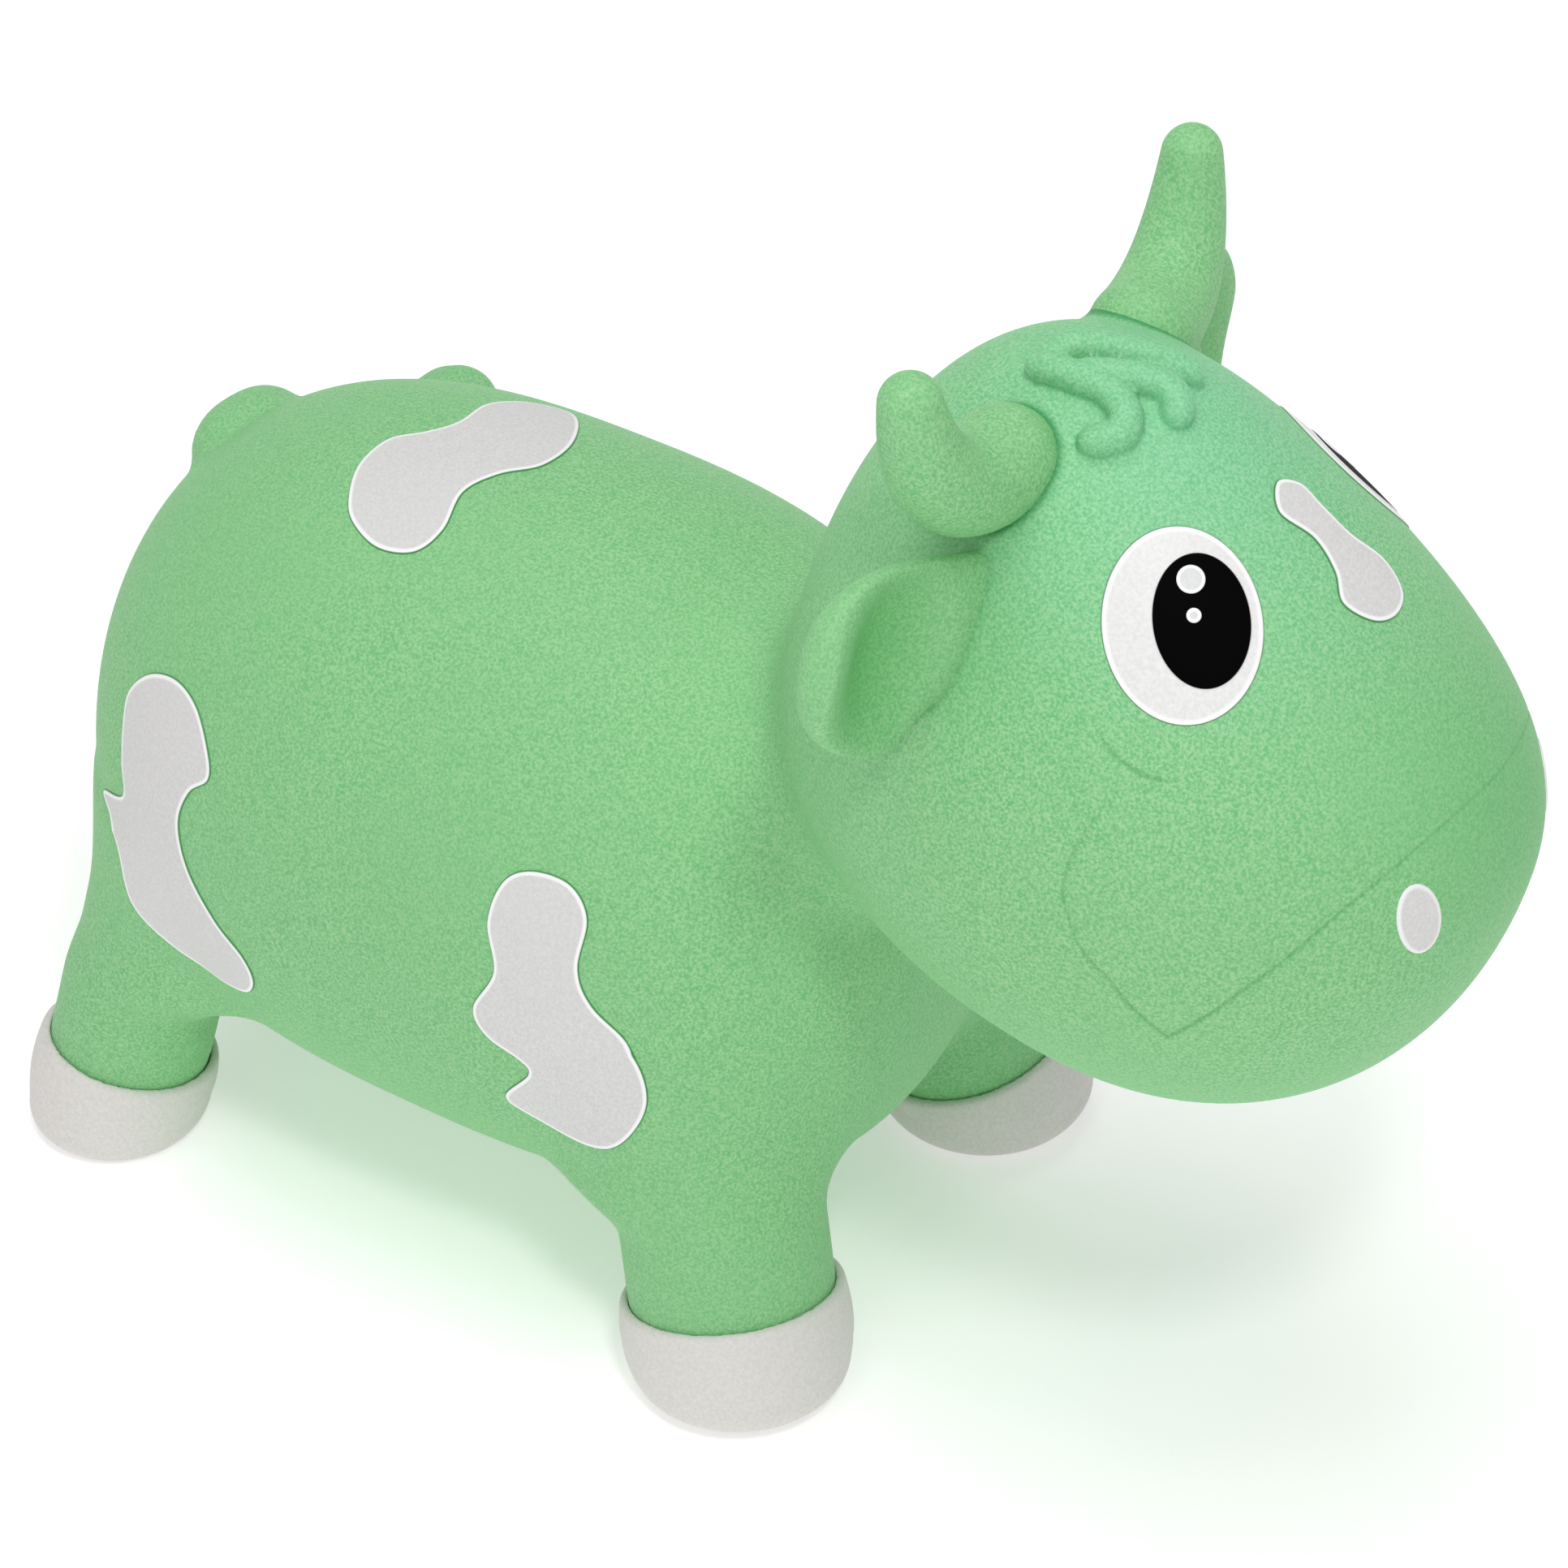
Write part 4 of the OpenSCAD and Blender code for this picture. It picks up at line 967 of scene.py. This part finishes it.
patchShape = dict(
    rump=[
        [53, 52], [54, 66], [65, 78], [80, 83], [93, 79], [102, 67], [104, 57], [95, 48], [90, 33], [95, 15],
        [108, -2], [120, -13], [123, -24], [117, -34], [105, -37], [92, -35], [79, -31], [60, -19], [53, 2],
        [46, 10], [38, 15], [55, 25], [54, 38]],
    shoulder=[
        [-119, 46], [-115, 62], [-105, 68], [-91, 66], [-83, 55], [-84, 36], [-78, 22], [-62, 6], [-56, -11],
        [-60, -26], [-70, -37], [-87, -40], [-106, -37], [-113, -30], [-102, -15], [-105, -9], [-118, -2],
        [-123, 9], [-115, 27]],
    saddle=[
        [-52, -43], [-58, -28], [-56, -12], [-46, -2], [-40, 10], [-41, 30], [-33, 46], [-20, 51], [-8, 40],
        [2, 20], [2, 2], [-8, -11], [-14, -25], [-11, -42], [-16, -53], [-30, -56], [-44, -51]],
    leftRumpShift=(16, -14), high=0.7, edge=1.3, steps=9)


def patch(name, outline, place, along):
    # a white patch with a smooth outline, laid on the body along one way
    g = patchShape
    outline = curveThrough(outline, g["steps"], closed=True)
    piece = coatPiece("painted_" + name, outline, place, along, bodyDistance, 0, g["high"], g["edge"])
    dress(piece, whitePaint, "white_paint", name)


def sidePatch(name, outline, endX, side):
    # a patch drawn on the side view, laid on the flank from outside
    middle = trunkShape["height"]

    def place(flat):
        # points beside the flank at the outline's places along and above the trunk
        out = np.full(len(flat), side * (trunkShape["width"] / 2))
        return np.stack([endX + flat[:, 0], out, middle + flat[:, 1]], -1)

    patch(name, outline, place, (0, 1, 0))


endX = trunkShape["length"] / 2
sidePatch("right_rump_patch", patchShape["rump"], -endX, right)
sidePatch("left_rump_patch", np.array(patchShape["rump"]) + patchShape["leftRumpShift"], -endX, left)
sidePatch("right_shoulder_patch", patchShape["shoulder"], endX, right)
sidePatch("left_shoulder_patch", patchShape["shoulder"], endX, left)


def overBack(flat):
    # points above the back at the outline's places along and across the trunk
    return np.column_stack([flat, np.full(len(flat), trunkShape["height"] + trunkShape["up"])])


patch("saddle_patch", patchShape["saddle"], overBack, (0, 0, 1))
print("patches made")

# The painted face

faceShape = dict(
    eye=dict(at=(0.11, 52.5), size=(64, 51.5), turn=-49, sides=96, high=0.7, edge=2.0),
    pupil=dict(shift=(5, 3.5), size=(45, 32.5), turn=-49, sides=96, high=1.0, edge=0.8),
    glint=dict(shift=(7.5, -11.5), size=(9.5, 9.5), turn=0, sides=40, high=1.3, edge=0.7),
    smallGlint=dict(shift=(-0.5, -3), size=(5, 5), turn=0, sides=40, high=1.3, edge=0.5),
    nostril=dict(at=(0.88, 28), size=(26, 16), turn=-40, sides=72, high=0.6, edge=1.3),
    blaze=dict(at=(0.295, 90), length=58, width=30, steps=10, high=0.7, edge=1.3), leftLow=3.5)


def headAxes(at, side):
    # a place on the head and the ways round it, along it and out of it there
    s, t = at[0], onSide(at[1], side)
    p, e = headAt(s, t), 0.01
    along = headAt(s + e, t) - headAt(s - e, t)
    out = unit(np.cross(headAt(s, t + 1) - headAt(s, t - 1), along))
    along = unit(along - out * (out @ along))
    return p, np.cross(along, out), along, out


def oval(g, shift, side):
    # an oval turned on the left cheek, mirrored for the right one
    t = np.linspace(0, 2 * np.pi, g["sides"], endpoint=False)
    a = np.radians(g["turn"])
    x, y = g["size"][0] / 2 * np.cos(t), g["size"][1] / 2 * np.sin(t)
    x, y = x * np.cos(a) - y * np.sin(a) + shift[0], x * np.sin(a) + y * np.cos(a) + shift[1]
    return np.stack([x * side, y], -1)


def facePiece(name, outline, at, side, low, high, edge):
    # a coat laid on the head straight in from a place's own plane
    p, across, along, out = headAxes(at, side)
    place = lambda flat: p + flat[:, :1] * across + flat[:, 1:] * along
    outset = coatShape["outset"] if low == 0 else 0
    return coatPiece(name, outline, place, out, lambda q: formDistance(headForm, q), low, high, edge, outset)


for side in (left, right):
    name = sideNames[side]
    eye, pupil, nostril = (faceShape[key] for key in ("eye", "pupil", "nostril"))
    low = faceShape["leftLow"] if side == left else 0
    eyeAt, nostrilAt = ((g["at"][0], g["at"][1] - low) for g in (eye, nostril))
    outline = oval(eye, (0, 0), side)
    white = facePiece(f"painted_{name}_eye_white", outline, eyeAt, side, 0, eye["high"], eye["edge"])
    dress(white, eyePaint, "white_paint", name + "_eye_white")
    outline = oval(pupil, pupil["shift"], side)
    black = facePiece(f"painted_{name}_pupil", outline, eyeAt, side, eye["high"], pupil["high"], pupil["edge"])
    dress(black, pupilPaint, "black_paint", name + "_pupil")
    for key in ("glint", "smallGlint"):
        g = faceShape[key]
        outline = oval(g, np.array(pupil["shift"]) + g["shift"], side)
        spot = facePiece(f"painted_{name}_{key}", outline, eyeAt, side, pupil["high"], g["high"], g["edge"])
        dress(spot, glintPaint, "white_paint", name + "_glints")
    outline = oval(nostril, (0, 0), side)
    mark = facePiece(f"painted_{name}_nostril", outline, nostrilAt, side, 0, nostril["high"], nostril["edge"])
    dress(mark, nostrilPaint, "white_paint", name + "_nostril")


def blazeOutline():
    # a small upper lobe, a waist and a larger lower lobe
    g = faceShape["blaze"]
    shares = [[0.05, -0.5], [0.34, -0.37], [0.22, -0.13], [0.31, 0.08], [0.51, 0.24], [0.33, 0.43], [0, 0.5],
              [-0.35, 0.44], [-0.47, 0.24], [-0.29, 0], [-0.24, -0.22], [-0.22, -0.4]]
    return curveThrough(np.array(shares) * [g["width"], g["length"]], g["steps"], closed=True)


blaze = faceShape["blaze"]
mark = facePiece("painted_blaze", blazeOutline(), blaze["at"], left, 0, blaze["high"], blaze["edge"])
dress(mark, whitePaint, "white_paint", "blaze")
print("face painted")

# The valve keeps its solids
for name in ("valve_collar", "valve_plug"):
    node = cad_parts[name]
    node.data.materials.clear()
    node.data.materials.append(valvePlastic)

# Floor, light and camera

studio = dict(
    floorHalf=60000, floorShade=(252, 252, 252), floorGlow=0.3, farGlow=0.66, glowFrom=0.7, glowTo=2.6,
    worldLight=0.4, lampAim=(0, 0, 0.2),
    lamps=dict(
        key=dict(place=(-0.1, -0.1, 2.4), power=20, size=1.6),
        fill=dict(place=(0.4, -2.2, 1.1), power=6.5, size=2.2),
        front=dict(place=(0.95, -0.95, 2.15), power=12, size=0.35)),
    camera=(866.2, -1221.0, 1268.8), azimuth=31.908, elevation=36.625, focalPixels=6069, imagePixels=1932,
    sensor=36, farthest=100)


def makeFloor():
    # a wide flat sheet at the soles, which glows more with distance, as the lamps' light falls off there
    corners = studio["floorHalf"] * np.array([[-1, -1, 0], [1, -1, 0], [1, 1, 0], [-1, 1, 0]], float)
    floor = makePiece("floor", corners, np.array([[0, 1, 2, 3]]))
    material, tree, shader, place = newMaterial("paleFloor", roughness=0.9, specular=0.1)
    shader.inputs["Base Color"].default_value = linearColour(*studio["floorShade"])
    shader.inputs["Emission Color"].default_value = linearColour(*studio["floorShade"])
    away = addNode(tree, "ShaderNodeVectorMath", operation="LENGTH")
    glow = addNode(tree, "ShaderNodeMapRange", {
        **fromRange(studio["glowFrom"], studio["glowTo"]),
        "To Min": studio["floorGlow"], "To Max": studio["farGlow"]})
    tree.links.new(place.outputs["Object"], away.inputs[0])
    tree.links.new(away.outputs["Value"], glow.inputs["Value"])
    tree.links.new(glow.outputs["Result"], shader.inputs["Emission Strength"])
    floor.data.materials.append(material)


def makeWorld():
    # even pale light, with a white background for what the camera, gloss and clear parts see
    world = bpy.data.worlds.new("studio")
    bpy.context.scene.world = world
    world.use_nodes = True
    tree = world.node_tree
    tree.nodes.clear()
    out = tree.nodes.new("ShaderNodeOutputWorld")
    even = addNode(tree, "ShaderNodeBackground", {"Color": (1, 1, 1, 1), "Strength": studio["worldLight"]})
    white = addNode(tree, "ShaderNodeBackground", {"Color": (1, 1, 1, 1), "Strength": 1.0})
    path = tree.nodes.new("ShaderNodeLightPath")
    gloss = addNode(tree, "ShaderNodeMath", operation="MAXIMUM")
    seen = addNode(tree, "ShaderNodeMath", operation="MAXIMUM")
    pick = tree.nodes.new("ShaderNodeMixShader")
    link = tree.links.new
    rays = dict(Camera=gloss.inputs[0], Glossy=gloss.inputs[1], Transmission=seen.inputs[1])
    for ray, socket in rays.items():
        link(path.outputs[f"Is {ray} Ray"], socket)
    link(gloss.outputs[0], seen.inputs[0])
    link(seen.outputs[0], pick.inputs[0])
    link(even.outputs[0], pick.inputs[1])
    link(white.outputs[0], pick.inputs[2])
    link(pick.outputs[0], out.inputs[0])


def makeLamp(name, place, power, size):
    # a square soft lamp aimed at the middle of the toy
    lamp = bpy.data.lights.new(name, "AREA")
    lamp.energy, lamp.size = power, size
    held = bpy.data.objects.new(name, lamp)
    bpy.context.scene.collection.objects.link(held)
    held.location = place
    held.rotation_euler = (Vector(studio["lampAim"]) - Vector(place)).to_track_quat("-Z", "Y").to_euler()


def makeCamera():
    # the photograph's own viewpoint: right, up and back from its azimuth and elevation
    a, e = np.radians(studio["azimuth"]), np.radians(studio["elevation"])
    back = np.array([np.sin(a) * np.cos(e), -np.cos(a) * np.cos(e), np.sin(e)])
    across = np.array([np.cos(a), np.sin(a), 0])
    turn = np.column_stack([across, np.cross(back, across), back])
    lens = bpy.data.cameras.new("camera")
    lens.sensor_width = studio["sensor"]
    lens.lens = lens.sensor_width * studio["focalPixels"] / studio["imagePixels"]
    lens.clip_end = studio["farthest"]
    camera = bpy.data.objects.new("camera", lens)
    bpy.context.scene.collection.objects.link(camera)
    place = inFrame(np.array(studio["camera"]))
    camera.matrix_world = Matrix.Translation(place) @ Matrix(turn.tolist()).to_4x4()
    bpy.context.scene.camera = camera


makeFloor()
makeWorld()
for name, lamp in studio["lamps"].items():
    makeLamp(name, **lamp)
makeCamera()
bpy.context.scene.view_settings.view_transform = "Standard"
print("studio made")

bpy.context.view_layer.update()
